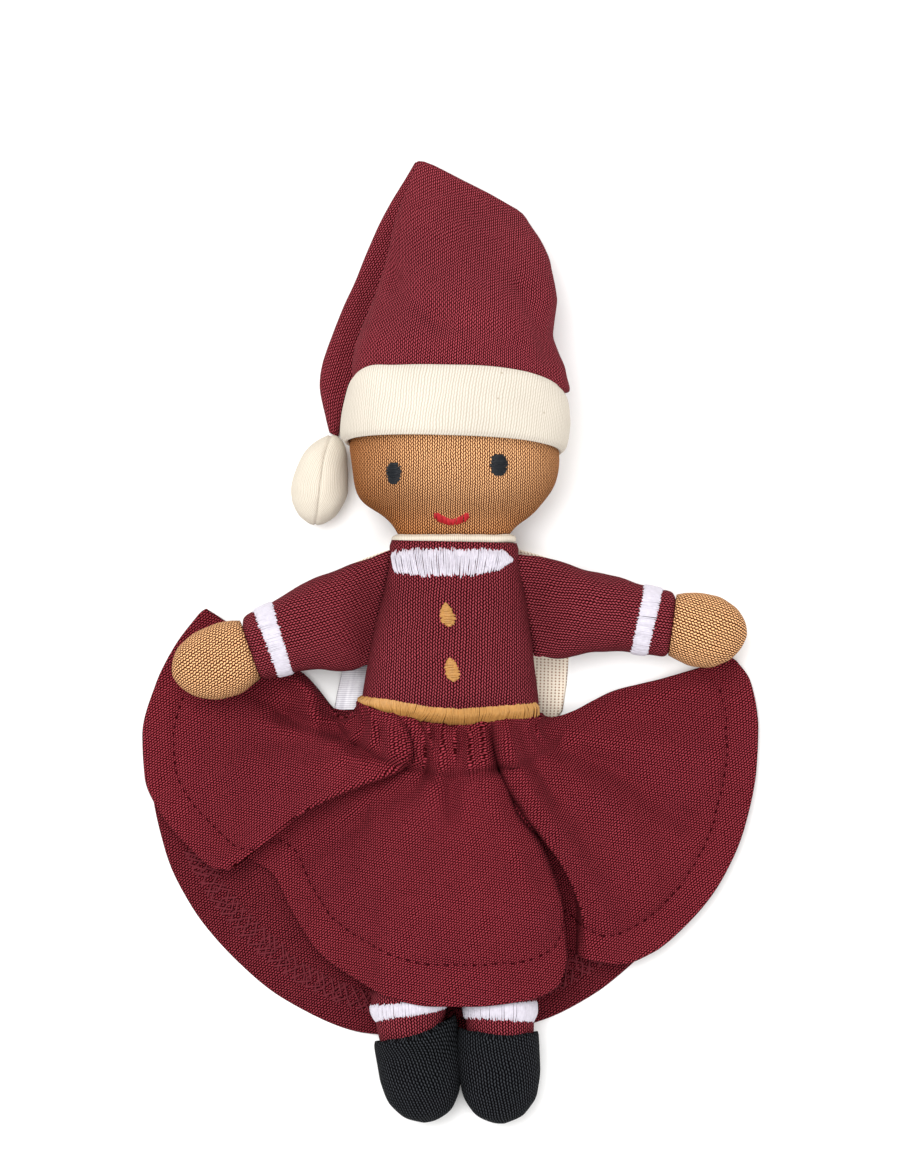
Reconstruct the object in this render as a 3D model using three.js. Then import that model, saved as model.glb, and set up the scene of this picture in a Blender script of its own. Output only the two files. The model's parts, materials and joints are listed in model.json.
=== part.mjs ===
// A small stuffed Mrs Claus doll, sewn from knitted jersey, lying on its back with its arms out.
// X runs to the right as the doll is looked at, Y towards the hat, Z up out of the doll's front.
// The origin is under the middle of the doll, on the surface that it lies on. All sizes are millimetres.
import * as THREE from "three";

// Cloth and clearances.
const CLEARANCE = 0.3;
const JERSEY = 1.0;
const HAT_JERSEY = 1.2;
const BRIM_THICKNESS = 2.0;
const THREAD = 0.8;
const REST_FLAT = 0.5;
const FULLNESS = 2.3;

// Head and neck.
const HEAD_WIDTH = 52;
const HEAD_LENGTH = 56;
const HEAD_DEPTH = 39;
const HEAD_X = 1.6;
const NECK_WIDTH = 28.4;
const NECK_DEPTH = 12;
const NECK_Y = 27.4;
const NECK_Z = 14;
const NECK_X = 1;
const NECK_OPENING = 55;
const NECK_BAND_WIDTH = 2.1;
const NECK_BAND_THICKNESS = 1.3;
const EYE_WIDTH = 3.9;
const EYE_HEIGHT = 5.2;
const EYE_SPACING = 26;
const EYE_RISE = 15;
const EYE_SHIFT = -2.4;
const MOUTH_WIDTH = 8.4;
const MOUTH_HEIGHT = 3;
const MOUTH_RISE = 3.9;
const MOUTH_SHIFT = -1;

// Hat.
const BRIM_LOW = 20.1;
const BRIM_HEIGHT = 14.5;
const BRIM_TILT = 2.7;
const BRIM_RISE = 1.4;
const BRIM_LEAN = 1.3;
const CROWN_DROOP = 2.2;
const CROWN_BASE = 40;
const CROWN_LENGTH = 46.5;
const FOLD_WIDTH = 30;
const FOLD_TILT = 27.5;
const FOLD_DEPTH = 4;
const FOLD_GAP = 0.6;
const FOLD_SHIFT = 3.6;
const TAIL_LENGTH = 69.6;
const TAIL_WIDTH = 30;
const TAIL_DEPTH = 4.8;
const TAIL_ANGLE = 241;
const BOBBLE_LENGTH = 22.6;
const BOBBLE_WIDTH = 13.8;
const BOBBLE_DEPTH = 14;
const BOBBLE_ANGLE = 262;

// Body.
const TORSO_LENGTH = 49.4;
const TORSO_WIDTH = 45;
const TORSO_DEPTH = 28;
const SHOULDER_WIDTH = 30.6;
const TORSO_X = 1.5;
const TORSO_SLANT = 1.7;
const SEAM_DEPTH = 1.6;
const COLLAR_WIDTH = 6.4;
const BELT_WIDTH = 4.4;
const BUTTON_WIDTH = 4;
const BUTTON_HEIGHT = 5.4;
const BUTTON_SPACING = 13.5;

// Arms.
const ARM_LENGTH_LEFT = 34.2;
const ARM_LENGTH_RIGHT = 37;
const ARM_DROOP_LEFT = 19.3;
const ARM_DROOP_RIGHT = 7.8;
const ARM_WIDTH = 24.8;
const ARM_DEPTH = 17.4;
const ARM_Z = 12.8;
const HAND_LENGTH_LEFT = 19.6;
const HAND_LENGTH_RIGHT = 17.9;
const HAND_WIDTH = 19;
const HAND_DEPTH = 16.4;
const WRIST_BAND = 4.8;

// Legs.
const LEG_LENGTH = 67.4;
const LEG_WIDTH = 18;
const LEG_DEPTH = 16;
const LEG_SPACING = 22.6;
const BOOT_LENGTH = 23;
const BOOT_WIDTH = 20;
const BOOT_DEPTH = 16.8;
const ANKLE_BAND = 5.2;
const HIP_STRIP = 4;
const HIP_GAP = 0.85;
const STRIP_THICKNESS = 0.8;
const HIP_Z = 10;

// Cape and skirt.
const CAPE_THICKNESS = 1.0;
const CAPE_WIDTH = 62;
const CAPE_LENGTH = 45;
const RIBBON_WIDTH = 7.6;
const RIBBON_THICKNESS = 1.4;
const SKIRT_THICKNESS = 1.0;
const WAIST_SHARE = 0.905;

const RADIANS = Math.PI / 180;

// A smooth curve through the given values that never overshoots them.
function through(places, values) {
  const last = places.length - 1;
  const rise = places.slice(1).map((x, i) => (values[i + 1] - values[i]) / (x - places[i]));
  const slopes = places.map((x, i) => {
    if (i === 0) return rise[0];
    if (i === last) return rise[last - 1];
    if (rise[i - 1] * rise[i] <= 0) return 0;
    return (2 * rise[i - 1] * rise[i]) / (rise[i - 1] + rise[i]);
  });
  return (at) => {
    let i = 0;
    while (i < last - 1 && at > places[i + 1]) i += 1;
    const width = places[i + 1] - places[i];
    const t = (at - places[i]) / width;
    const bend = t * t * (3 - 2 * t);
    const away = t * (1 - t) * (1 - t) * width;
    const back = t * t * (1 - t) * width;
    return values[i] * (1 - bend) + values[i + 1] * bend + slopes[i] * away - slopes[i + 1] * back;
  };
}

// A stuffed form: rounded sections strung along a centre line.
// Each row is { at, x, y, z, halfX, halfY, depth } with half of the width as a vector in plan.
function makeForm(rows) {
  const places = rows.map((row) => row.at);
  const value = {};
  for (const key of ["x", "y", "z", "halfX", "halfY", "depth"]) {
    value[key] = through(places, rows.map((row) => row[key]));
  }
  const power = (v) => Math.sign(v) * Math.abs(v) ** (2 / FULLNESS);
  const point = (at, angle, grow = 0, floor = -Infinity) => {
    const halfX = value.halfX(at);
    const halfY = value.halfY(at);
    const width = Math.hypot(halfX, halfY);
    const wide = Math.max(width + grow, 0.3) / width;
    const deep = Math.max(value.depth(at) + grow, 0.25);
    const across = power(Math.cos(angle)) * wide;
    const z = value.z(at) + power(Math.sin(angle)) * deep;
    return new THREE.Vector3(
      value.x(at) + halfX * across,
      value.y(at) + halfY * across,
      Math.max(z, floor),
    );
  };
  return { point, value, first: places[0], last: places[places.length - 1] };
}

// Rows for a form along a straight line, with the width across it.
// Each entry is [share of the length, sideways shift, slant, half width, half depth, height].
function limbRows(start, degrees, length, entries) {
  const along = new THREE.Vector2(Math.cos(degrees * RADIANS), Math.sin(degrees * RADIANS));
  const side = new THREE.Vector2(along.y, -along.x);
  if (side.x > 0 && Math.abs(side.x) > Math.abs(side.y)) side.negate();
  if (side.y < 0 && Math.abs(side.y) >= Math.abs(side.x)) side.negate();
  return entries.map(([share, shift, slant, half, depth, z]) => ({
    at: share,
    x: start.x + along.x * share * length + side.x * shift,
    y: start.y + along.y * share * length + side.y * shift,
    z,
    halfX: side.x * half + along.x * slant,
    halfY: side.y * half + along.y * slant,
    depth,
  }));
}

const steps = (from, to, count) => Array.from({ length: count }, (_, i) => from + ((to - from) * i) / (count - 1));

function ringOf(form, at, sides, grow, floor) {
  return steps(0, sides - 1, sides).map((k) => form.point(at, (k / sides) * 2 * Math.PI, grow, floor));
}

// Joins triangles into a geometry whose faces point outwards.
function solidFrom(points, faces) {
  let volume = 0;
  for (const [a, b, c] of faces) {
    volume += points[a].dot(new THREE.Vector3().crossVectors(points[b], points[c]));
  }
  const turned = volume < 0 ? faces.map(([a, b, c]) => [a, c, b]) : faces;
  const geometry = new THREE.BufferGeometry();
  const flat = new Float32Array(points.flatMap((p) => [p.x, p.y, p.z]));
  geometry.setAttribute("position", new THREE.BufferAttribute(flat, 3));
  geometry.setIndex(turned.flat());
  geometry.computeVertexNormals();
  return geometry;
}

// Skins a run of rings. An open run is closed by a fan at each end, a closed one by joining its ends.
function loft(rings, closed = false) {
  const sides = rings[0].length;
  const points = rings.flat();
  const faces = [];
  const joins = closed ? rings.length : rings.length - 1;
  for (let r = 0; r < joins; r += 1) {
    const next = (r + 1) % rings.length;
    for (let k = 0; k < sides; k += 1) {
      const turn = (k + 1) % sides;
      const [a, b] = [r * sides + k, r * sides + turn];
      const [c, d] = [next * sides + turn, next * sides + k];
      faces.push([a, b, c], [a, c, d]);
    }
  }
  if (!closed) {
    for (const [ring, flip] of [[0, false], [rings.length - 1, true]]) {
      const middle = new THREE.Vector3();
      rings[ring].forEach((p) => middle.addScaledVector(p, 1 / sides));
      const pole = points.push(middle) - 1;
      for (let k = 0; k < sides; k += 1) {
        const [a, b] = [ring * sides + k, ring * sides + ((k + 1) % sides)];
        faces.push(flip ? [pole, a, b] : [pole, b, a]);
      }
    }
  }
  return solidFrom(points, faces);
}

// A sewn skin round a form, closed where its list of outer places starts and open where it ends.
function skin(form, outer, inner, wall, sides, floor) {
  const outside = outer.map((at) => ringOf(form, at, sides, 0, floor));
  const inside = inner.map((at) => ringOf(form, at, sides, -wall));
  return loft([...outside, ...inside]);
}

// A tube of cloth on a form, open at both ends.
function sleeveOf(form, places, from, to, sides, floor) {
  const outside = places.map((at) => ringOf(form, at, sides, to, floor));
  const inside = [...places].reverse().map((at) => ringOf(form, at, sides, from));
  return loft([...outside, ...inside], true);
}

// A closed slab from two grids of points that face each other.
function slab(top, under) {
  const rows = top.length;
  const columns = top[0].length;
  const points = [...top.flat(), ...under.flat()];
  const half = rows * columns;
  const faces = [];
  const quad = (a, b, c, d) => faces.push([a, b, c], [a, c, d]);
  for (let r = 0; r < rows - 1; r += 1) {
    for (let k = 0; k < columns - 1; k += 1) {
      const a = r * columns + k;
      quad(a, a + 1, a + 1 + columns, a + columns);
      quad(half + a, half + a + columns, half + a + 1 + columns, half + a + 1);
    }
  }
  for (let k = 0; k < columns - 1; k += 1) {
    const end = (rows - 1) * columns + k;
    quad(k, half + k, half + k + 1, k + 1);
    quad(end, end + 1, half + end + 1, half + end);
  }
  for (let r = 0; r < rows - 1; r += 1) {
    const a = r * columns;
    const b = a + columns - 1;
    quad(a, a + columns, half + a + columns, half + a);
    quad(b, half + b, half + b + columns, b + columns);
  }
  return solidFrom(points, faces);
}

// A band of thread or cloth laid on a form, over a range of angles.
function bandOn(form, angles, low, high, across, gap, thickness) {
  const grid = (grow) => steps(0, 1, across).map((v) => angles.map((angle) => {
    const at = low(angle) + (high(angle) - low(angle)) * v;
    const swell = grow > gap ? 1 - 0.4 * (2 * v - 1) ** 2 : 1;
    return form.point(at, angle, gap + (grow - gap) * swell);
  }));
  return slab(grid(gap + thickness), grid(gap));
}

// How high the given meshes reach at a place in plan.
function heightOver(meshes, x, y) {
  const ray = new THREE.Raycaster(new THREE.Vector3(x, y, HEAD_LENGTH * 4), new THREE.Vector3(0, 0, -1));
  const hits = ray.intersectObjects(meshes, false);
  return hits.length ? hits[0].point.z : 0;
}

// A small raised patch of stitches on a mesh, round the given middle.
function patchOn(mesh, x, y, outline, thickness) {
  const sides = 14;
  const rounds = [0.35, 0.7, 1];
  const lay = (share, lift) => steps(0, sides - 1, sides).map((k) => {
    const [dx, dy] = outline((k / sides) * 2 * Math.PI);
    const place = [x + dx * share, y + dy * share];
    return new THREE.Vector3(...place, heightOver([mesh], ...place) + lift);
  });
  const top = rounds.map((share) => lay(share, CLEARANCE + thickness * (1 - 0.45 * share * share)));
  const under = [...rounds].reverse().map((share) => lay(share, CLEARANCE));
  return loft([...top, ...under]);
}

// Cloth of even thickness about a grid of points on its middle surface.
function clothFrom(grid, thickness, floor = -Infinity) {
  const rows = grid.length;
  const columns = grid[0].length;
  const normals = grid.map((row, r) => row.map((_, k) => {
    const along = new THREE.Vector3().subVectors(
      grid[r][Math.min(k + 1, columns - 1)],
      grid[r][Math.max(k - 1, 0)],
    );
    const down = new THREE.Vector3().subVectors(
      grid[Math.min(r + 1, rows - 1)][k],
      grid[Math.max(r - 1, 0)][k],
    );
    return new THREE.Vector3().crossVectors(along, down).normalize();
  }));
  const shifted = (amount) => grid.map((row, r) => row.map((p, k) => {
    const q = p.clone().addScaledVector(normals[r][k], amount);
    q.z = Math.max(q.z, floor);
    return q;
  }));
  return slab(shifted(thickness / 2), shifted(-thickness / 2));
}

const COLOURS = {
  burgundy: 0x7a2533,
  tan: 0xb98450,
  cream: 0xeee6d2,
  mustard: 0xd39a4c,
  white: 0xe9e6f0,
  black: 0x24282c,
  red: 0xc01f2b,
  satin: 0xd8d6e4,
  stuffing: 0xf4f2ec,
};

const doll = new THREE.Group();

function add(name, geometry, colour, roughness = 0.9) {
  const material = new THREE.MeshStandardMaterial({ color: COLOURS[colour], roughness, metalness: 0 });
  const mesh = new THREE.Mesh(geometry, material);
  mesh.name = name;
  doll.add(mesh);
  mesh.updateMatrixWorld(true);
  return mesh;
}

// Head: a bag of knit, flattened at the neck and rounded under it, so that it can nod in the collar.
const hatLayers = 2 * CLEARANCE + HAT_JERSEY + BRIM_THICKNESS;
const headZ = HEAD_DEPTH / 2 + hatLayers - REST_FLAT;
const neckRadius = NECK_DEPTH / 2;

const HEAD_ROWS = [
  [0.045, 0.63, 0.34, 0.03],
  [0.072, 0.7, 0.38, 0.07],
  [0.107, 0.82, 0.54, 0.2],
  [0.196, 0.96, 0.81, 0.55],
  [0.3, 1, 0.955, 0.85],
  [0.41, 0.97, 1, 1],
  [0.54, 0.94, 0.995, 1],
  [0.68, 0.91, 0.95, 1],
  [0.8, 0.78, 0.79, 1],
  [0.93, 0.46, 0.47, 1],
  [1, 0.06, 0.06, 1],
];

function headForm() {
  const rows = HEAD_ROWS.map(([share, wide, deep, rise]) => ({
    at: share,
    x: HEAD_X,
    y: NECK_Y + share * HEAD_LENGTH,
    z: NECK_Z + (headZ - NECK_Z) * rise,
    halfX: (wide * HEAD_WIDTH) / 2,
    halfY: 0,
    depth: (deep * HEAD_DEPTH) / 2,
  }));
  for (const turn of [0, 25, NECK_OPENING]) {
    const back = neckRadius * Math.sin(turn * RADIANS);
    rows.unshift({
      at: -back / HEAD_LENGTH,
      x: NECK_X,
      y: NECK_Y - back,
      z: NECK_Z,
      halfX: NECK_WIDTH / 2 - neckRadius * (1 - Math.cos(turn * RADIANS)),
      halfY: 0,
      depth: neckRadius * Math.cos(turn * RADIANS),
    });
  }
  return makeForm(rows);
}

const head = headForm();
const HEAD_SIDES = 24;
const headOuter = [1, 0.95, 0.86, 0.72, 0.54, 0.41, 0.3, 0.2, 0.13, 0.09, 0.05, 0, head.first / 2, head.first];
const headInner = [head.first, head.first / 2, 0, 0.05, 0.09, 0.2, 0.3, 0.41, 0.6, 0.76, 0.87, 0.94];
const headSkin = add("head_skin", skin(head, headOuter, headInner, JERSEY, HEAD_SIDES), "tan");
const packed = JERSEY + CLEARANCE;
const filling = (form, places, sides) => places.map((at) => ringOf(form, at, sides, -packed));
add("head_stuffing", loft(filling(head, headInner.slice(1, -1), HEAD_SIDES)), "stuffing", 1);

// Face: two embroidered eyes and a stitched smile.
const oval = (width, height) => (t) => [(Math.cos(t) * width) / 2, (Math.sin(t) * height) / 2];
const faceY = NECK_Y + EYE_RISE;
for (const [side, name] of [[-1, "eye_left"], [1, "eye_right"]]) {
  const eyeX = HEAD_X + EYE_SHIFT + (side * EYE_SPACING) / 2;
  const eyeY = faceY + side;
  add(name, patchOn(headSkin, eyeX, eyeY, oval(EYE_WIDTH, EYE_HEIGHT), THREAD), "black", 0.5);
}
const smile = (t) => {
  const x = (Math.cos(t) * MOUTH_WIDTH) / 2;
  const curl = (x / MOUTH_WIDTH) ** 2 * MOUTH_HEIGHT * 2.4;
  return [x, (Math.sin(t) * MOUTH_HEIGHT) / 2 + curl - MOUTH_HEIGHT * 0.3];
};
add("mouth", patchOn(headSkin, HEAD_X + MOUTH_SHIFT, NECK_Y + MOUTH_RISE, smile, THREAD), "red", 0.6);

// Hat: a cone of knit pulled over the head, its top folded back and its tail brought round behind.
const crownGap = CLEARANCE + HAT_JERSEY;
const crownStart = BRIM_LOW + BRIM_HEIGHT * 0.6;
const crownY = NECK_Y + CROWN_BASE;
const foldZ = CLEARANCE + TAIL_DEPTH + CLEARANCE / 2;
const restsOnTail = foldZ + CLEARANCE;
const tiltSin = Math.sin(FOLD_TILT * RADIANS);
const tiltCos = Math.cos(FOLD_TILT * RADIANS);

// Each row is [share of the crown's length, middle from the head's, half width as a share of the
// brim's, tilt as a share of the fold's, half depth as a share of the head's, rests on the tail].
const CROWN_ROWS = [
  [0.16, -0.2, 1, -0.05, 0.93, 0],
  [0.37, 2.15, 0.94, 0, 0.74, 1],
  [0.59, 3.05, 0.825, 0.02, 0.5, 1],
  [0.77, 2, 0.7, 0.2, 0.32, 1],
  [0.89, 2.9, 0.63, 0.6, 0.2, 1],
];

function crownForm() {
  const rows = [];
  const lowest = BRIM_LOW - BRIM_TILT - BRIM_LEAN;
  for (const height of [lowest, BRIM_LOW + BRIM_TILT, crownStart, CROWN_BASE - 5, CROWN_BASE]) {
    const at = height / HEAD_LENGTH;
    const droop = height === CROWN_BASE ? CROWN_DROOP : 0;
    rows.push({
      at: (height - CROWN_BASE) / CROWN_LENGTH,
      x: HEAD_X + droop / 4,
      y: NECK_Y + height,
      z: head.value.z(at),
      halfX: head.value.halfX(at) + crownGap + droop,
      halfY: 0,
      depth: head.value.depth(at) + crownGap,
    });
  }
  const brimHalf = rows[4].halfX - CROWN_DROOP;
  for (const [share, shift, wide, tilt, deep, rests] of CROWN_ROWS) {
    const depth = (deep * HEAD_DEPTH) / 2 + (share < 0.3 ? crownGap : 0);
    const half = wide * brimHalf;
    const turn = tilt * FOLD_TILT * RADIANS;
    rows.push({
      at: share,
      x: HEAD_X + shift,
      y: crownY + share * CROWN_LENGTH,
      z: rests ? restsOnTail + depth : headZ - 0.5,
      halfX: half * Math.cos(turn),
      halfY: -half * Math.sin(turn),
      depth,
    });
  }
  rows.push({
    at: 1,
    x: HEAD_X + FOLD_SHIFT,
    y: crownY + CROWN_LENGTH,
    z: restsOnTail + FOLD_DEPTH / 2,
    halfX: (FOLD_WIDTH / 2) * tiltCos,
    halfY: (-FOLD_WIDTH / 2) * tiltSin,
    depth: FOLD_DEPTH / 2,
  });
  return makeForm(rows);
}

const crown = crownForm();
const HAT_SIDES = 24;
const crownPlaces = [(crownStart - CROWN_BASE) / CROWN_LENGTH, -0.12, 0, 0.16, 0.37, 0.59, 0.77, 0.89, 1];
add("hat_crown", sleeveOf(crown, crownPlaces, -HAT_JERSEY, 0, HAT_SIDES), "burgundy");

function brimGeometry() {
  const inner = CLEARANCE + 0.15;
  const outer = inner + BRIM_THICKNESS;
  const section = [
    [0, inner], [0, outer - 0.5], [0.08, outer], [0.5, outer + 0.3],
    [0.92, outer], [1, outer - 0.5], [1, inner], [0.8, inner], [0.6, inner], [0.4, inner], [0.2, inner],
  ];
  const rings = section.map(([share, grow]) => steps(0, HAT_SIDES - 1, HAT_SIDES).map((k) => {
    const angle = (k / HAT_SIDES) * 2 * Math.PI;
    const tilt = BRIM_TILT * (1 + BRIM_RISE * share) * Math.sin(angle);
    const height = BRIM_LOW + BRIM_HEIGHT * share + tilt - BRIM_LEAN * Math.cos(angle);
    const at = (height - CROWN_BASE) / CROWN_LENGTH;
    return crown.point(at, angle, grow, 0);
  }));
  return loft(rings, true);
}
add("hat_brim", brimGeometry(), "cream");

// Tail of the hat, brought down behind the crown from the fold.
const foldMiddle = new THREE.Vector2(HEAD_X + FOLD_SHIFT, crownY + CROWN_LENGTH);
const tailDepth = TAIL_DEPTH / 2;
const TAIL_ROWS = [
  [0, 0, 1, 1], [0.2, 2.3, 0.88, 1.02], [0.374, 4.8, 0.71, 1.04], [0.554, 6.2, 0.55, 1.12],
  [0.688, 7, 0.45, 1.2], [0.816, 6.2, 0.35, 1.25], [0.918, 4, 0.25, 1.15], [1, 0.6, 0.14, 0.9],
];

function tailForm() {
  const start = foldMiddle.clone().add(new THREE.Vector2(-tiltSin, -tiltCos).multiplyScalar(FOLD_GAP));
  return makeForm(limbRows(start, TAIL_ANGLE, TAIL_LENGTH, TAIL_ROWS.map(([share, shift, wide, deep]) => [
    share, shift, 0, (wide * TAIL_WIDTH) / 2, deep * tailDepth, deep * tailDepth + CLEARANCE * (1 - share),
  ])));
}

const tail = tailForm();
const tailPlaces = [0.995, 0.97, 0.9, 0.816, 0.688, 0.554, 0.374, 0.2, 0];
const tailInside = [0, 0.2, 0.374, 0.554, 0.688, 0.816, 0.93];
add("hat_tail", skin(tail, tailPlaces, tailInside, JERSEY, 16, 0), "burgundy");

// Bobble at the end of the tail: two sewn panels round a ball of stuffing.
const BOBBLE_ROWS = [
  [0, 0.2, 0.24], [0.08, 0.48, 0.5], [0.25, 0.88, 0.88], [0.5, 1, 1], [0.75, 0.87, 0.88],
  [0.93, 0.48, 0.5], [1, 0.12, 0.14],
];

function bobbleForm() {
  const end = tail.value;
  const along = new THREE.Vector2(Math.cos(BOBBLE_ANGLE * RADIANS), Math.sin(BOBBLE_ANGLE * RADIANS));
  const start = new THREE.Vector2(end.x(1), end.y(1)).addScaledVector(along, CLEARANCE);
  const centre = BOBBLE_DEPTH / 2 - REST_FLAT;
  return makeForm(limbRows(start, BOBBLE_ANGLE, BOBBLE_LENGTH, BOBBLE_ROWS.map(([share, wide, deep]) => [
    share, 0, 0, (wide * BOBBLE_WIDTH) / 2, (deep * BOBBLE_DEPTH) / 2,
    tailDepth + (centre - tailDepth) * Math.sin(Math.min(share * 4, 1) * Math.PI / 2),
  ])));
}

const bobble = bobbleForm();
const BOBBLE_SIDES = 16;
const bobblePlaces = [0, 0.04, 0.12, 0.25, 0.5, 0.75, 0.9, 0.98];
for (const [name, from] of [["bobble_panel_left", 0], ["bobble_panel_right", 1]]) {
  const seam = 0.05;
  const angles = steps(Math.PI * (from - 0.5) + seam, Math.PI * (from + 0.5) - seam, 9);
  const outside = bobblePlaces.map((at) => angles.map((angle) => bobble.point(at, angle, 0, 0)));
  const inside = bobblePlaces.map((at) => angles.map((angle) => bobble.point(at, angle, -JERSEY * 0.9)));
  add(name, slab(outside, inside), "cream");
}
add("bobble_stuffing", loft(filling(bobble, bobblePlaces.slice(2, -1), BOBBLE_SIDES)), "stuffing", 1);

// Torso: a bag of knit, open at the neck and sewn flat at the hips.
const restHeight = CAPE_THICKNESS + CLEARANCE + 0.2;
const torsoTop = NECK_Y - neckRadius * 0.62;
const TORSO_ROWS = [
  [0.14, 0.745, 0.76, 0.6], [0.33, 0.83, 0.91, 0.85], [0.55, 0.92, 1, 1], [0.78, 0.985, 0.96, 1],
  [0.92, 1, 0.57, 0.62],
];

function torsoForm() {
  const rows = TORSO_ROWS.map(([share, wide, deep, settle]) => {
    const depth = (deep * TORSO_DEPTH) / 2;
    return {
      at: share,
      x: TORSO_X - share * TORSO_SLANT,
      y: torsoTop - share * TORSO_LENGTH,
      z: (share > 0.9 ? HIP_Z + 2.2 : NECK_Z) * (1 - settle) + (restHeight + depth) * settle,
      halfX: (wide * TORSO_WIDTH) / 2,
      halfY: 0,
      depth,
    };
  });
  rows.unshift({
    at: 0,
    x: NECK_X,
    y: torsoTop,
    z: NECK_Z,
    halfX: SHOULDER_WIDTH / 2,
    halfY: 0,
    depth: neckRadius + packed + 0.7,
  });
  rows.push({
    at: 1,
    x: TORSO_X - TORSO_SLANT,
    y: torsoTop - TORSO_LENGTH,
    z: HIP_Z,
    halfX: TORSO_WIDTH * 0.46,
    halfY: 0,
    depth: SEAM_DEPTH / 2,
  });
  return makeForm(rows);
}

const torso = torsoForm();
const TORSO_SIDES = 24;
const torsoOuter = [1, 0.97, 0.92, 0.86, 0.78, 0.66, 0.55, 0.33, 0.14, 0.05, 0];
const torsoInner = [0, 0.14, 0.33, 0.55, 0.66, 0.78, 0.86, 0.91, 0.94];
const torsoSkin = add("torso_skin", skin(torso, torsoOuter, torsoInner, JERSEY, TORSO_SIDES), "burgundy");
add("torso_stuffing", loft(filling(torso, torsoInner.slice(1, -1), TORSO_SIDES)), "stuffing", 1);

// Neck band of cream knit, between the head and the torso.
function neckBandGeometry() {
  const inner = neckRadius + CLEARANCE + 0.2;
  const bottom = torsoTop + CLEARANCE;
  const section = [[0, 0], [0, 0.8], [0.5, 1], [1, 0.8], [1, 0]];
  const rings = section.map(([share, out]) => {
    const grow = inner - neckRadius + out * NECK_BAND_THICKNESS;
    return steps(0, HEAD_SIDES - 1, HEAD_SIDES).map((k) => {
      const p = head.point(0, (k / HEAD_SIDES) * 2 * Math.PI, grow);
      p.y = bottom + share * NECK_BAND_WIDTH;
      return p;
    });
  });
  return loft(rings, true);
}
add("neck_band", neckBandGeometry(), "cream");

// Embroidery on the front of the torso.
const frontAngles = (from, to, count) => steps(from * RADIANS, to * RADIANS, count);
const stitchGap = CLEARANCE + 0.05;
const collarLow = 0.07;
add("collar", bandOn(
  torso,
  frontAngles(15, 165, 11),
  () => collarLow,
  (angle) => collarLow + (COLLAR_WIDTH * (0.6 + 0.4 * Math.sin(angle))) / TORSO_LENGTH,
  4,
  stitchGap,
  THREAD,
), "white", 0.6);

const BELT_SHARE = 0.775;
const BELT_DIP = 0.045;
const beltHigh = (angle) => BELT_SHARE + BELT_DIP * Math.sin(angle) ** 2;
add("belt", bandOn(
  torso,
  frontAngles(0, 180, 13),
  beltHigh,
  (angle) => beltHigh(angle) + (BELT_WIDTH * 0.8) / TORSO_LENGTH,
  4,
  stitchGap,
  THREAD,
), "mustard", 0.6);

const drop = (width, height) => (t) => [
  ((Math.cos(t) * width) / 2) * (1 - 0.25 * Math.sin(t)) - Math.sin(t) * 0.35,
  (Math.sin(t) * height) / 2,
];
const BUTTON_SHARE = 0.355;
[["button_top", -0.6, 0], ["button_bottom", 0.5, 1]].forEach(([name, x, place]) => {
  const y = torsoTop - TORSO_LENGTH * BUTTON_SHARE - place * BUTTON_SPACING;
  add(name, patchOn(torsoSkin, x, y, drop(BUTTON_WIDTH, BUTTON_HEIGHT), THREAD), "mustard", 0.6);
});

// Arms: each sewn flat into the side seam of the torso, so that it swings there.
const SHOULDER_SHARES = [0.035, 0.58];
const SHOULDER_GAP = CLEARANCE + 0.6;
const WRIST_SHARE_LEFT = 0.67;
const WRIST_SHARE_RIGHT = 0.695;
const ARM_ROWS = [
  [0, 0, 1, 0], [0.05, 0.05, 1, 0.12], [0.12, 0.2, 1.02, 0.42], [0.22, 0.7, 1, 0.77], [0.42, 1.7, 0.9, 1],
  [0.6, 1.5, 0.8, 1], [0.73, 0.7, 0.71, 0.94], [0.865, 0.3, 0.69, 0.91], [1, 0, 0.665, 0.88],
];
const HAND_ROWS = [
  [0.02, 0, 0, 0.87, 0.92], [0.26, -0.3, 0, 1, 1], [0.56, -0.3, 0, 0.95, 0.96], [0.82, -0.1, 0, 0.7, 0.74],
  [0.95, 0, 0, 0.36, 0.4], [1, 0, 0, 0.08, 0.1],
];
const LIMB_SIDES = 16;

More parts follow.
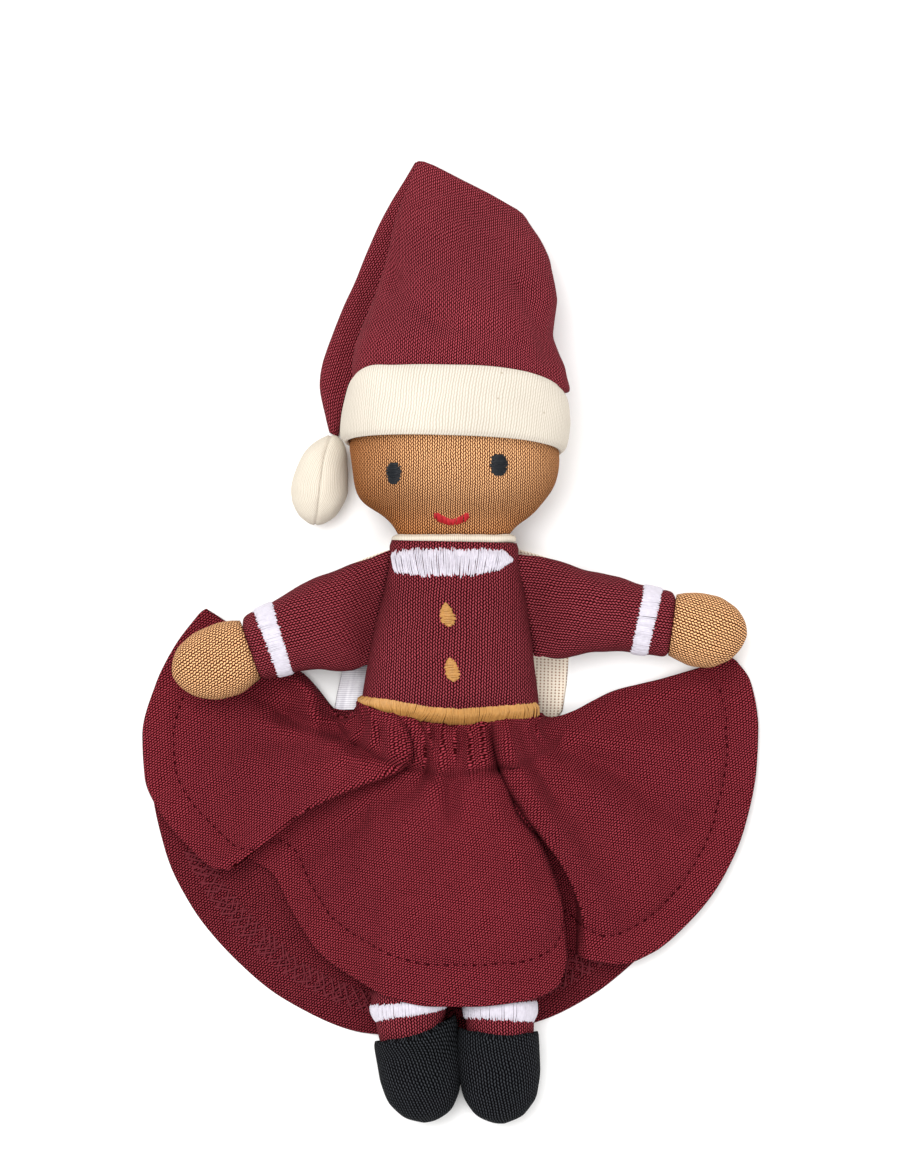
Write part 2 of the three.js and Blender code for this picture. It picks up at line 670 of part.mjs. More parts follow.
function addArm(name, side, length, droop, handLength, bandStart) {
  const seam = SHOULDER_SHARES.map((share) => torso.point(share, side < 0 ? Math.PI : 0, SHOULDER_GAP));
  const middle = new THREE.Vector2((seam[0].x + seam[1].x) / 2, (seam[0].y + seam[1].y) / 2);
  const degrees = side < 0 ? 180 + droop : -droop;
  const shoulderZ = (seam[0].z + seam[1].z) / 2;
  const shoulderDepth = SEAM_DEPTH / 2;
  const seamLength = seam[0].distanceTo(seam[1]);
  const slope = Math.atan2(seam[0].x - seam[1].x, seam[0].y - seam[1].y);
  const lean = side * (seamLength / 2) * Math.sin(slope - side * droop * RADIANS);
  const rows = ARM_ROWS.map(([share, shift, wide, deep]) => [
    share, shift, lean * Math.max(1 - share / 0.8, 0), (wide * ARM_WIDTH) / 2,
    shoulderDepth + (ARM_DEPTH / 2 - shoulderDepth) * deep,
    shoulderZ + (ARM_Z - shoulderZ) * Math.min(share * 3, 1),
  ]);
  const arm = makeForm(limbRows(middle, degrees, length, rows));
  const sleevePlaces = [0, 0.05, 0.12, 0.22, 0.3, 0.42, 0.6, 0.73, 0.865, 1];
  const lining = [1, 0.865, 0.73, 0.6, 0.42, 0.3, 0.22, 0.17];
  add("sleeve_" + name, skin(arm, sleevePlaces, lining, JERSEY, LIMB_SIDES), "burgundy");
  const bandEnd = bandStart + WRIST_BAND / length;
  const bandPlaces = [bandStart, (bandStart + bandEnd) / 2, bandEnd];
  add("wrist_band_" + name, sleeveOf(arm, bandPlaces, stitchGap, stitchGap + THREAD, LIMB_SIDES), "white", 0.6);

  const wrist = new THREE.Vector2(arm.value.x(1), arm.value.y(1));
  const handRows = HAND_ROWS.map(([share, shift, slant, wide, deep]) => [
    share, shift, slant, (wide * HAND_WIDTH) / 2, (deep * HAND_DEPTH) / 2, ARM_Z,
  ]);
  const hand = makeForm(limbRows(wrist, degrees, handLength, handRows));
  const handPlaces = [1, 0.95, 0.82, 0.56, 0.26, 0.02];
  const handLining = [0.02, 0.26, 0.56, 0.8, 0.9];
  const armFill = [...lining.slice(0, -1)].reverse();
  add("hand_" + name, skin(hand, handPlaces, handLining, JERSEY, LIMB_SIDES), "tan");
  const fill = [...filling(arm, armFill, LIMB_SIDES), ...filling(hand, handLining.slice(0, -1), LIMB_SIDES)];
  add("arm_stuffing_" + name, loft(fill), "stuffing", 1);
}
addArm("left", -1, ARM_LENGTH_LEFT, ARM_DROOP_LEFT, HAND_LENGTH_LEFT, WRIST_SHARE_LEFT);
addArm("right", 1, ARM_LENGTH_RIGHT, ARM_DROOP_RIGHT, HAND_LENGTH_RIGHT, WRIST_SHARE_RIGHT);

// Legs: both sewn into a strip at the foot of the torso, which folds when the doll sits.
const hipY = torsoTop - TORSO_LENGTH;
const stripTop = hipY - HIP_GAP;
const stripHalf = LEG_SPACING / 2 + LEG_WIDTH * 0.46;
const legTop = stripTop - HIP_STRIP - CLEARANCE;
const strip = (z) => [stripTop, stripTop - HIP_STRIP].map((y) => steps(-stripHalf, stripHalf, 3).map((x) => {
  return new THREE.Vector3(x, y, HIP_Z + z);
}));
add("hip_strip", slab(strip(STRIP_THICKNESS / 2), strip(-STRIP_THICKNESS / 2)), "burgundy");

const LEG_ROWS = [
  [0, 0.14, 0.05], [0.015, 0.5, 0.07], [0.05, 0.82, 0.2], [0.11, 0.97, 0.55], [0.2, 1, 0.88], [0.4, 1.02, 1],
  [0.85, 0.99, 0.99], [1, 1.02, 1],
];
const BOOT_ROWS = [
  [0.015, 0.94, 0.94], [0.12, 0.97, 0.98], [0.45, 1, 1], [0.72, 0.9, 0.9], [0.92, 0.58, 0.6],
  [1, 0.14, 0.16],
];
const ANKLE_SHARE = 0.943;
const bandOut = stitchGap + THREAD * 0.8;
const legRest = SKIRT_THICKNESS + CLEARANCE + bandOut + 0.1;

function addLeg(name, side, lean, foot) {
  const top = new THREE.Vector2((side * LEG_SPACING) / 2, legTop);
  const degrees = 270 + lean;
  const rows = LEG_ROWS.map(([share, wide, deep]) => {
    const depth = Math.max((deep * LEG_DEPTH) / 2, SEAM_DEPTH / 2);
    const settle = Math.min(share / 0.2, 1);
    return [share, 0, 0, (wide * LEG_WIDTH) / 2, depth, HIP_Z * (1 - settle) + (legRest + LEG_DEPTH / 2) * settle];
  });
  const leg = makeForm(limbRows(top, degrees, LEG_LENGTH, rows));
  const places = [0, 0.015, 0.05, 0.11, 0.2, 0.4, 0.62, 0.85, 1];
  const lining = [1, 0.85, 0.62, 0.4, 0.2, 0.15, 0.12];
  const stocking = add("stocking_" + name, skin(leg, places, lining, JERSEY, LIMB_SIDES), "burgundy");
  const bandEnd = ANKLE_SHARE;
  const bandStart = bandEnd - ANKLE_BAND / LEG_LENGTH;
  const bandPlaces = [bandStart, (bandStart + bandEnd) / 2, bandEnd];
  const band = sleeveOf(leg, bandPlaces, stitchGap, bandOut, LIMB_SIDES);
  const ankleBand = add("ankle_band_" + name, band, "white", 0.6);

  const ankle = new THREE.Vector2(leg.value.x(1), leg.value.y(1));
  const turn = Math.sin((degrees - foot) * RADIANS);
  const bootZ = BOOT_DEPTH / 2 - REST_FLAT;
  const bootRows = BOOT_ROWS.map(([share, wide, deep]) => {
    const half = (wide * BOOT_WIDTH) / 2;
    const settle = Math.min(share / 0.45, 1);
    const z = (legRest + LEG_DEPTH / 2) * (1 - settle) + bootZ * settle;
    return [share, 0, turn * half * (1 - settle), half, (deep * BOOT_DEPTH) / 2, z];
  });
  const boot = makeForm(limbRows(ankle, foot, BOOT_LENGTH, bootRows));
  const bootPlaces = [1, 0.92, 0.72, 0.45, 0.12, 0.015];
  const bootLining = [0.015, 0.12, 0.45, 0.72, 0.87];
  add("boot_" + name, skin(boot, bootPlaces, bootLining, JERSEY, LIMB_SIDES, 0), "black");
  const legFill = [...lining.slice(0, -1)].reverse();
  const fill = [...filling(leg, legFill, LIMB_SIDES), ...filling(boot, bootLining.slice(0, -1), LIMB_SIDES)];
  add("leg_stuffing_" + name, loft(fill), "stuffing", 1);
  return [stocking, ankleBand];
}
const legs = [...addLeg("left", -1, 1.5, 280), ...addLeg("right", 1, 1.3, 270)];

// Cape of open cream knit behind the torso, with a satin ribbon along one edge.
const NECK_FOLD = 2.6;
const CAPE_ROWS = [
  [0, 0.26, 1], [0.08, 0.42, 0.55], [0.16, 0.5, 0.15], [0.3, 0.5, 0], [0.55, 0.49, 0], [0.8, 0.49, 0],
  [0.96, 0.485, 0], [1, 0.45, 0],
];
function capeGeometry() {
  const lift = NECK_Z - neckRadius - CLEARANCE * 2 - CAPE_THICKNESS - NECK_FOLD;
  const grid = CAPE_ROWS.map(([share, half, rise]) => steps(-1, 1, 9).map((across) => {
    const tuck = Math.max(0, 1 - (across * half * 3.4) ** 2);
    return new THREE.Vector3(
      HEAD_X - 1.4 + across * half * CAPE_WIDTH,
      torsoTop + 1 - share * CAPE_LENGTH - (across * across) * (1 - share) * 1.5,
      CAPE_THICKNESS / 2 + lift * rise * tuck,
    );
  }));
  return clothFrom(grid, CAPE_THICKNESS, 0);
}
const cape = add("cape", capeGeometry(), "cream");

const RIBBON_ROWS = [[0.34, -22], [0.6, -23.4], [0.76, -24.7], [0.86, -25.2]];
function ribbonGeometry() {
  const grid = (lift) => RIBBON_ROWS.map(([share, middle]) => steps(-1, 1, 5).map((across) => {
    const bulge = lift ? RIBBON_THICKNESS * (1 - 0.55 * across * across) : 0;
    const x = middle + (across * RIBBON_WIDTH) / 2;
    const y = torsoTop + 1 - share * CAPE_LENGTH;
    return new THREE.Vector3(x, y, CAPE_THICKNESS + CLEARANCE + bulge);
  }));
  return slab(grid(true), grid(false));
}
add("satin_ribbon", ribbonGeometry(), "satin", 0.4);

// Skirt: a round skirt gathered at the waist. Its back lies flat and its front falls in a folded
// wing on each side and a middle lobe over the legs.
// Each column is [waist angle, stack at the waist, hem x, hem y, hem z, lift halfway down].
const FRONT_COLUMNS = [
  [177, 0, -61.1, 7.6, 1.9, 0], [172, 0.2, -69.2, -3.9, 2, 0], [165, 0.5, -74.7, -16.4, 2.6, 0.6],
  [157, 1, -76.4, -28.9, 3.6, 1.4], [149, 1.6, -73.6, -40.1, 4.4, 2.2], [141, 2.4, -67.4, -51, 5.4, 3],
  [133, 3.4, -58.6, -57.4, 6.8, 3.6], [131.5, 2.6, -56, -55.6, 5.6, 2.6], [134, 1.7, -60.6, -51.6, 4.2, 1.4],
  [135, 0.9, -61.6, -50.6, 3, 0.6], [131, 0, -52.4, -54.6, 2.2, 0.4], [126, 0, -44.4, -58.1, 2.4, 1],
  [120, 0, -39.9, -68.1, 3.6, 2], [113, 0, -32.9, -78.1, 8, 3], [105, 0, -21.9, -87.6, 15.6, 3],
  [97, 0, -11.1, -90.4, 19, 2], [88, 0, 0.1, -91.1, 19, 2], [78, 0, 12.6, -90.4, 19, 2],
  [70, 0, 23.6, -87.6, 15.6, 3], [65, 0, 29.1, -81.6, 9.5, 3.6], [61, 0, 31, -78.4, 3.2, 1],
  [57, 0, 35.1, -79.6, 4.6, 3.4], [47, 0, 47.4, -80.2, 6, 3.6], [37, 0, 60.4, -69.9, 6, 3.4],
  [27, 0, 71, -52.6, 5, 2.6], [17, 0, 75.9, -30.1, 3.6, 1.4], [8, 0, 75.5, -15.1, 2.4, 0.4],
  [3, 0, 71.4, -4.8, 1.9, 0],
];
const BACK_COLUMNS = [
  [183, -61.1, 7.2], [190, -68.6, -3.9], [200, -73.9, -17.6], [210, -74.4, -35.1], [220, -71.1, -52.8],
  [232, -64.3, -66.8], [244, -53.8, -81], [256, -40.7, -91.8], [264, -20.4, -98.2], [270, 0.1, -99.5],
  [278, 21, -96], [288, 35.8, -89.2], [300, 50.2, -79], [312, 61, -67.6], [325, 70.4, -50.1],
  [338, 74.4, -30.1], [350, 74.4, -16.4], [357, 71.2, -5.2],
];

const waistDip = (angle) => WAIST_SHARE - 0.035 + 0.045 * Math.abs(Math.sin(angle));
const waistPoint = (degrees, stack) => {
  const angle = degrees * RADIANS;
  const p = torso.point(waistDip(angle), angle, CLEARANCE + SKIRT_THICKNESS / 2 + 0.1 + stack);
  p.y -= 0.6;
  return p;
};

// The columns between the listed ones lie on a smooth curve through them.
function betweenColumns(columns, perColumn) {
  const places = columns.map((_, i) => i);
  const curves = columns[0].map((_, key) => through(places, columns.map((column) => column[key])));
  return steps(0, columns.length - 1, (columns.length - 1) * perColumn + 1).map((at) => curves.map((c) => c(at)));
}

function skirtFrontGeometry() {
  const columns = betweenColumns(FRONT_COLUMNS, 2);
  const obstacles = [torsoSkin, ...legs];
  const reach = CLEARANCE + SKIRT_THICKNESS / 2 + 0.5;
  const grid = steps(0, 1, 9).map((v) => columns.map(([angle, stack, x, y, z, lift]) => {
    const waist = waistPoint(angle, stack);
    const fall = (1 - v) ** (1.35 + 5 * Math.cos(angle * RADIANS) ** 4);
    const p = new THREE.Vector3(
      waist.x + (x - waist.x) * v,
      waist.y + (y - waist.y) * v,
      z + (waist.z - z) * fall + lift * Math.sin(Math.PI * Math.min(v * 1.1, 1)),
    );
    const under = [[0, 0], [2, 0], [-2, 0], [0, 2], [0, -2]];
    const tops = under.map(([dx, dy]) => heightOver(obstacles, p.x + dx, p.y + dy));
    if (v > 0) p.z = Math.max(p.z, Math.max(...tops) + reach);
    return p;
  }));
  return clothFrom(grid, SKIRT_THICKNESS);
}
add("skirt_front", skirtFrontGeometry(), "burgundy");

function skirtBackGeometry() {
  const columns = betweenColumns(BACK_COLUMNS, 1);
  const flat = SKIRT_THICKNESS / 2;
  const grid = steps(0, 1, 8).map((v) => columns.map(([angle, x, y]) => {
    const waist = waistPoint(angle, 0);
    const fall = (1 - v) ** (2.6 + 8 * Math.cos(angle * RADIANS) ** 4);
    return new THREE.Vector3(
      waist.x + (x - waist.x) * v,
      waist.y + (y - waist.y) * v,
      flat + Math.max((waist.z - flat) * fall - REST_FLAT * v, 0),
    );
  }));
  return clothFrom(grid, SKIRT_THICKNESS, 0);
}
add("skirt_back", skirtBackGeometry(), "burgundy");

export default doll;
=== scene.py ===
# %% [markdown]
# A small knitted Christmas doll, photographed from straight above as it lies on its back.
# This lesson dresses a finished construction model. That model, the frame, already holds every piece at its
# real size and every joint, so here only the looks are made: the swelling of the stuffed limbs, the folds of
# the skirt, the knit, the threads and the light.

import json
import math
import random

import bpy
import numpy as np
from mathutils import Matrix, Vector, noise
from mathutils.bvhtree import BVHTree


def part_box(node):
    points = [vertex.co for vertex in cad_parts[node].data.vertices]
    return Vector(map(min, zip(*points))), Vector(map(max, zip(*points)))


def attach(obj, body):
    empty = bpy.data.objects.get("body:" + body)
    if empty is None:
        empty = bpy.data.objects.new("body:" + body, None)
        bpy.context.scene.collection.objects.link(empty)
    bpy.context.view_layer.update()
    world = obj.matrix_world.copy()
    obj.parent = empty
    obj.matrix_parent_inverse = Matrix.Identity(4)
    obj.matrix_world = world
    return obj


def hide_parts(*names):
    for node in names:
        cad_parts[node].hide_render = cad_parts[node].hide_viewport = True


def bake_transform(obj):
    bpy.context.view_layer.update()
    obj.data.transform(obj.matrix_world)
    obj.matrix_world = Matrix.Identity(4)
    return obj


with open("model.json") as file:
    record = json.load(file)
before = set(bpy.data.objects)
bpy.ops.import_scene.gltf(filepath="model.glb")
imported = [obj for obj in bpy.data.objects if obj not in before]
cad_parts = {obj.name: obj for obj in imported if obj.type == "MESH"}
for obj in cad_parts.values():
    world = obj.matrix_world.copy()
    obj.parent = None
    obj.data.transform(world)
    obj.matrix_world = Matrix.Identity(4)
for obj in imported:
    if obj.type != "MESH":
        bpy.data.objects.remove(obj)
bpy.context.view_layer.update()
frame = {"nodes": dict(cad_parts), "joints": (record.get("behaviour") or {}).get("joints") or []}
MM = 0.001
UP = Vector((0, 0, 1))
joints = {joint["name"]: joint for joint in frame["joints"]}

# %% [markdown]
# The camera comes first. The photograph was taken from high above with a long lens, so its edges hardly
# lean. One pixel of it is a quarter of a millimetre on the doll, which gives the height of the view, and
# the doll lies a little below the middle of the picture.

# %% Camera
PICTURE = (900, 1176)
PIXEL_MM = 0.25
PIXEL = PIXEL_MM * MM
ORIGIN_PIXEL = (449.5, 639.5)
CAMERA_HEIGHT = 2.2
FOCUS_HEIGHT = 12 * MM
SENSOR = 36


def add_camera():
    look_x = (PICTURE[0] / 2 - ORIGIN_PIXEL[0]) * PIXEL
    look_y = (ORIGIN_PIXEL[1] - PICTURE[1] / 2) * PIXEL
    bpy.ops.object.camera_add(location=(look_x, look_y, CAMERA_HEIGHT), rotation=(0, 0, 0))
    made = bpy.context.object
    made.name = "camera"
    made.data.sensor_fit = "VERTICAL"
    made.data.sensor_height = SENSOR
    made.data.lens = SENSOR * (CAMERA_HEIGHT - FOCUS_HEIGHT) / (PICTURE[1] * PIXEL)
    made.data.clip_end = 20
    bpy.context.scene.camera = made
    return made


camera = add_camera()
print("lens", round(camera.data.lens), "mm at", CAMERA_HEIGHT, "m")

# %% [markdown]
# Stuffed cloth takes smooth, slightly lumpy forms. Each one starts as a plain grid, which is wrapped round
# the frame's piece: rays are cast at the piece from all round its axis, and the grid's points go where they
# land. Keeping only the broad waves round each section then takes off the frame's facets, as stuffing does.

# %% Reading the frame's pieces
REACH = 0.12


def deselect():
    if bpy.context.object and bpy.context.object.mode != "OBJECT":
        bpy.ops.object.mode_set(mode="OBJECT")
    bpy.ops.object.select_all(action="DESELECT")


def tree_of(*meshes):
    """A search tree over the faces of some meshes, for rays."""
    points, faces = [], []
    for mesh in meshes:
        first = len(points)
        points += [vertex.co.copy() for vertex in mesh.vertices]
        faces += [[first + i for i in polygon.vertices] for polygon in mesh.polygons]
    return BVHTree.FromPolygons(points, faces)


def solid_tree(*names):
    return tree_of(*(frame["nodes"][name].data for name in names))


def node_points(name):
    mesh = frame["nodes"][name].data
    points = np.empty(len(mesh.vertices) * 3)
    mesh.vertices.foreach_get("co", points)
    return points.reshape(-1, 3)


def farthest(name, place):
    points = node_points(name)
    return Vector(points[np.argmax(np.linalg.norm(points - np.array(place), axis=1))])


def turn_of(column, columns):
    """The angle round a section at a column of a grid. The first column lies straight below."""
    return 2 * math.pi * column / (columns - 1) - math.pi / 2


print("rays reach", REACH, "m")


# %% Wrapping a grid round a piece
def wrap(tree, start, end, rows, columns, sides=None, round_end=0.0):
    """A grid laid on a solid round the line from start to end, with the front in its middle columns.

    sides holds the direction across the first section and across the last one.
    """
    start, end = Vector(start), Vector(end)
    axis = (end - start).normalized()
    length = (end - start).length
    first_side, last_side = sides or (axis.cross(UP), axis.cross(UP))
    arc = round_end * math.pi / 2
    straight = length - round_end
    grid = np.zeros((rows, columns, 3))
    for row in range(rows):
        travel = (straight + arc) * row / (rows - 1)
        place = min(travel, straight)
        tilt = min((travel - place) / arc * math.pi / 2, 1.565) if arc else 0.0
        side = Vector(first_side).lerp(Vector(last_side), place / straight).normalized()
        centre = start + axis * place

        def land(across, rise):
            way = (side * across + UP * rise).normalized() * math.cos(tilt) + axis * math.sin(tilt)
            way.normalize()
            return tree.ray_cast(centre + way * REACH, -way, REACH)[0]

        reach = []
        for ways in (((1, 0), (-1, 0)), ((0, 1), (0, -1))):
            found = [(hit - centre).length for hit in (land(*way) for way in ways) if hit]
            reach.append(max(sum(found) / max(len(found), 1), 0.4 * MM))
        last = centre
        for column in range(columns):
            turn = turn_of(column, columns)
            last = land(math.cos(turn) * reach[0], math.sin(turn) * reach[1]) or last
            grid[row, column] = last
    grid[:, -1] = grid[:, 0]
    return grid


def rounded(grid, times, waves=9):
    """Keeps only the broad waves round each section and averages each section with its neighbours."""
    parts = np.fft.rfft(grid[:, :-1], axis=1)
    parts[:, waves + 1 :] = 0
    ring = np.fft.irfft(parts, n=grid.shape[1] - 1, axis=1)
    for _ in range(times):
        mixed = ring.copy()
        mixed[1:-1] = (ring[:-2] + ring[1:-1] + ring[2:]) / 3
        ring = mixed
    return np.concatenate([ring, ring[:, :1]], axis=1)


def normals_of(grid, closed=True):
    """The direction out of the cloth at each point of a grid, or up where the grid is open."""
    if closed:
        ring = grid[:, :-1]
        around = np.roll(ring, -1, axis=1) - np.roll(ring, 1, axis=1)
        around = np.concatenate([around, around[:, :1]], axis=1)
        outward = grid - ring.mean(axis=1, keepdims=True)
    else:
        around = np.gradient(grid, axis=1)
        outward = np.array((0.0, 0.0, 1.0))
    normals = np.cross(around, np.gradient(grid, axis=0))
    size = np.linalg.norm(normals, axis=2, keepdims=True)
    normals = normals / np.maximum(size, 1e-12)
    return normals * np.sign((normals * outward).sum())


def lumpy(grid, height, spread, seed, closed=True):
    """Pushes the points in and out by soft noise, for the unevenness of hand stuffing."""
    normals = normals_of(grid, closed)
    out = grid.copy()
    shift = Vector((seed, seed * 0.7, 0))
    for row in range(grid.shape[0]):
        for column in range(grid.shape[1]):
            swell = noise.noise(Vector(grid[row, column] / spread) + shift)
            out[row, column] += normals[row, column] * height * swell
    if closed:
        out[:, -1] = out[:, 0]
    return out


print("ready to wrap", len(frame["nodes"]), "pieces")

# %% [markdown]
# A grid primitive becomes the cloth: its points are moved onto the wrapped places, its two long edges are
# merged into a tube, and the ends are drawn together. Its own map is filled with the distance run on the
# cloth in millimetres. Each panel is measured from its own middle, so its knit runs straight there and the
# two panels meet at the side seams, as cut cloth does.

# %% Making cloth from a grid
PANEL_MAP = "cloth"


def cloth_map(grid, panels=True, turned=0.0):
    steps = np.linalg.norm(np.diff(grid, axis=1), axis=2)
    across = np.concatenate([np.zeros((grid.shape[0], 1)), np.cumsum(steps, axis=1)], axis=1)
    along = np.linalg.norm(np.diff(grid, axis=0), axis=2).mean(axis=1)
    along = np.concatenate([[0], np.cumsum(along)])
    last = grid.shape[1] - 1
    places = across - across[:, last // 2 : last // 2 + 1]
    if panels:
        back_from, back_to = last // 4, last - last // 4
        places[:, :back_from] = across[:, :back_from]
        places[:, back_to:] = across[:, back_to:] - across[:, last:]
    down = np.repeat(along[:, None], grid.shape[1], axis=1)
    across_turned = places * math.cos(turned) - down * math.sin(turned)
    down_turned = places * math.sin(turned) + down * math.cos(turned)
    return np.stack([across_turned, down_turned], axis=2) / MM


def cloth_from(name, grid, uv=None, close=True):
    rows, columns = grid.shape[:2]
    grid = grid.copy()
    grid[:, :, 2] = np.maximum(grid[:, :, 2], 0)
    deselect()
    bpy.ops.mesh.primitive_grid_add(x_subdivisions=columns - 1, y_subdivisions=rows - 1, size=0.1)
    piece = bpy.context.object
    piece.name = name
    piece.data.name = name
    piece.data.vertices.foreach_set("co", grid.reshape(-1))
    uv = cloth_map(grid) if uv is None else uv
    corners = np.empty(len(piece.data.loops), int)
    piece.data.loops.foreach_get("vertex_index", corners)
    layer = piece.data.uv_layers[0]
    layer.name = PANEL_MAP
    layer.data.foreach_set("uv", uv.reshape(-1, 2)[corners].reshape(-1))
    piece.data.update()
    bpy.ops.object.mode_set(mode="EDIT")
    bpy.ops.mesh.select_all(action="SELECT")
    bpy.ops.mesh.remove_doubles(threshold=0.01 * MM)
    if close:
        bpy.ops.mesh.select_all(action="SELECT")
        bpy.ops.mesh.region_to_loop()
        bpy.ops.mesh.fill_holes(sides=0)
    bpy.ops.mesh.select_all(action="SELECT")
    bpy.ops.mesh.normals_make_consistent(inside=False)
    bpy.ops.object.mode_set(mode="OBJECT")
    bpy.ops.object.shade_smooth()
    return piece


class Form:
    """The wrapped surface of one stuffed piece, on which trims are laid."""

    def __init__(self, grid):
        self.grid = grid
        self.normals = normals_of(grid)
        self.last = (grid.shape[0] - 1, grid.shape[1] - 1)

    def at(self, turn, share, lift=0.0):
        """turn 0 is one side of the piece, 0.25 its front and 0.5 its other side; share runs along it."""
        column = ((turn + 0.25) % 1.0) * self.last[1]
        row = min(max(share, 0), 1) * self.last[0]
        r, c = min(int(row), self.last[0] - 1), min(int(column), self.last[1] - 1)
        down, across = row - r, column - c
        found = 0
        for field, scale in ((self.grid, 1.0), (self.normals, lift)):
            near = field[r, c] * (1 - across) + field[r, c + 1] * across
            far = field[r + 1, c] * (1 - across) + field[r + 1, c + 1] * across
            found = found + (near * (1 - down) + far * down) * scale
        return found


print("a map unit is one millimetre of cloth")


# %% Lines and curves in plan
def px(*points):
    """Places read off the photograph, turned to millimetres on the doll."""
    return [((x - ORIGIN_PIXEL[0]) * PIXEL_MM, (ORIGIN_PIXEL[1] - y) * PIXEL_MM) for x, y in points]


def bell(away, width, middle=0.0, power=2):
    """1 at the middle, falling softly to both sides. A higher power gives it a flat top."""
    return np.exp(-(((away - middle) / width) ** power))


def through(values, at):
    """Values read off a smooth curve through a list that never overshoots it."""
    values = np.array(values, float)
    rise = np.diff(values)
    product = rise[:-1] * rise[1:]
    total = np.where(rise[:-1] + rise[1:] == 0, 1, rise[:-1] + rise[1:])
    slopes = np.concatenate([[rise[0]], np.where(product > 0, 2 * product / total, 0), [rise[-1]]])
    first = np.clip(at.astype(int), 0, len(values) - 2)
    t = at - first
    bend = t * t * (3 - 2 * t)
    ends = slopes[first] * t * (1 - t) ** 2 - slopes[first + 1] * t * t * (1 - t)
    return values[first] * (1 - bend) + values[first + 1] * bend + ends


def distance_to(plan, points):
    """How far each place in plan is from a line through points, in millimetres."""
    points = np.array(points, float)
    nearest = np.full(plan.shape[:2], np.inf)
    for a, b in zip(points[:-1], points[1:]):
        way = b - a
        t = np.clip(((plan - a) @ way) / (way @ way), 0, 1)
        nearest = np.minimum(nearest, np.linalg.norm(plan - a - t[..., None] * way, axis=2))
    return nearest


def dented(grid, lines):
    """Pushes the front of a stuffed form in or out along lines in plan: (height, width, points), in mm."""
    normals = normals_of(grid)
    front = np.clip(normals[:, :, 2] * 2, 0, 1)
    rise = sum(h * bell(distance_to(grid[:, :, :2] / MM, p), w) for h, w, p in lines)
    out = grid + normals * (front * rise * MM)[:, :, None]
    out[:, -1] = out[:, 0]
    return out


def blurred(field, times):
    """Evens out a field of values by mixing each one with its four neighbours."""
    for _ in range(times):
        padded = np.pad(field, 1, mode="edge")
        near = padded[:-2, 1:-1] + padded[2:, 1:-1] + padded[1:-1, :-2] + padded[1:-1, 2:]
        field = (padded[1:-1, 1:-1] * 2 + near) / 6
    return field


print("lines are given in millimetres, or in pixels of the photograph through px()")

# %% [markdown]
# Knitted jersey is rows of small V shapes. Each column of them is a wale and each row a course. The knit is
# drawn from the cloth map: how far a point lies from the edge of its wale gives the two round legs of a V, as
# deep between them as between wales, and slanting the courses by that distance turns the legs. The two
# legs of a V lie half a course apart, which gives the twisted look of a brushed yarn. The same pattern
# darkens the colour between the yarns, as painted shade in the gaps, and lifts the surface in the bump.
# Cotton and wool yarn are rough, so hardly any light glances off them.

# %% Colours and the one node helper
def linear(hex_code):
    values = [int(hex_code[i : i + 2], 16) / 255 for i in (1, 3, 5)]
    return [v / 12.92 if v <= 0.04045 else ((v + 0.055) / 1.055) ** 2.4 for v in values] + [1.0]


def add_node(tree, kind, inputs=None, **settings):
    """Adds a node. An input may be a value, a socket, or a node, whose first output is linked."""
    node = tree.nodes.new("ShaderNode" + kind)
    for name, value in settings.items():
        setattr(node, name, value)
    for name, value in (inputs or {}).items():
        if isinstance(value, bpy.types.Node):
            value = value.outputs[0]
        if isinstance(value, bpy.types.NodeSocket):
            tree.links.new(value, node.inputs[name])
        else:
            node.inputs[name].default_value = value
    return node


def new_material(name, roughness):
    material = bpy.data.materials.new(name)
    material.use_nodes = True
    shader = material.node_tree.nodes["Principled BSDF"]
    shader.inputs["Roughness"].default_value = roughness
    return material, material.node_tree, shader


def show(tree, shader, colour, bump=None):
    """Links a colour to the shader, and a bump where there is one."""
    tree.links.new(colour, shader.inputs["Base Color"])
    if bump:
        tree.links.new(bump.outputs[0], shader.inputs["Normal"])


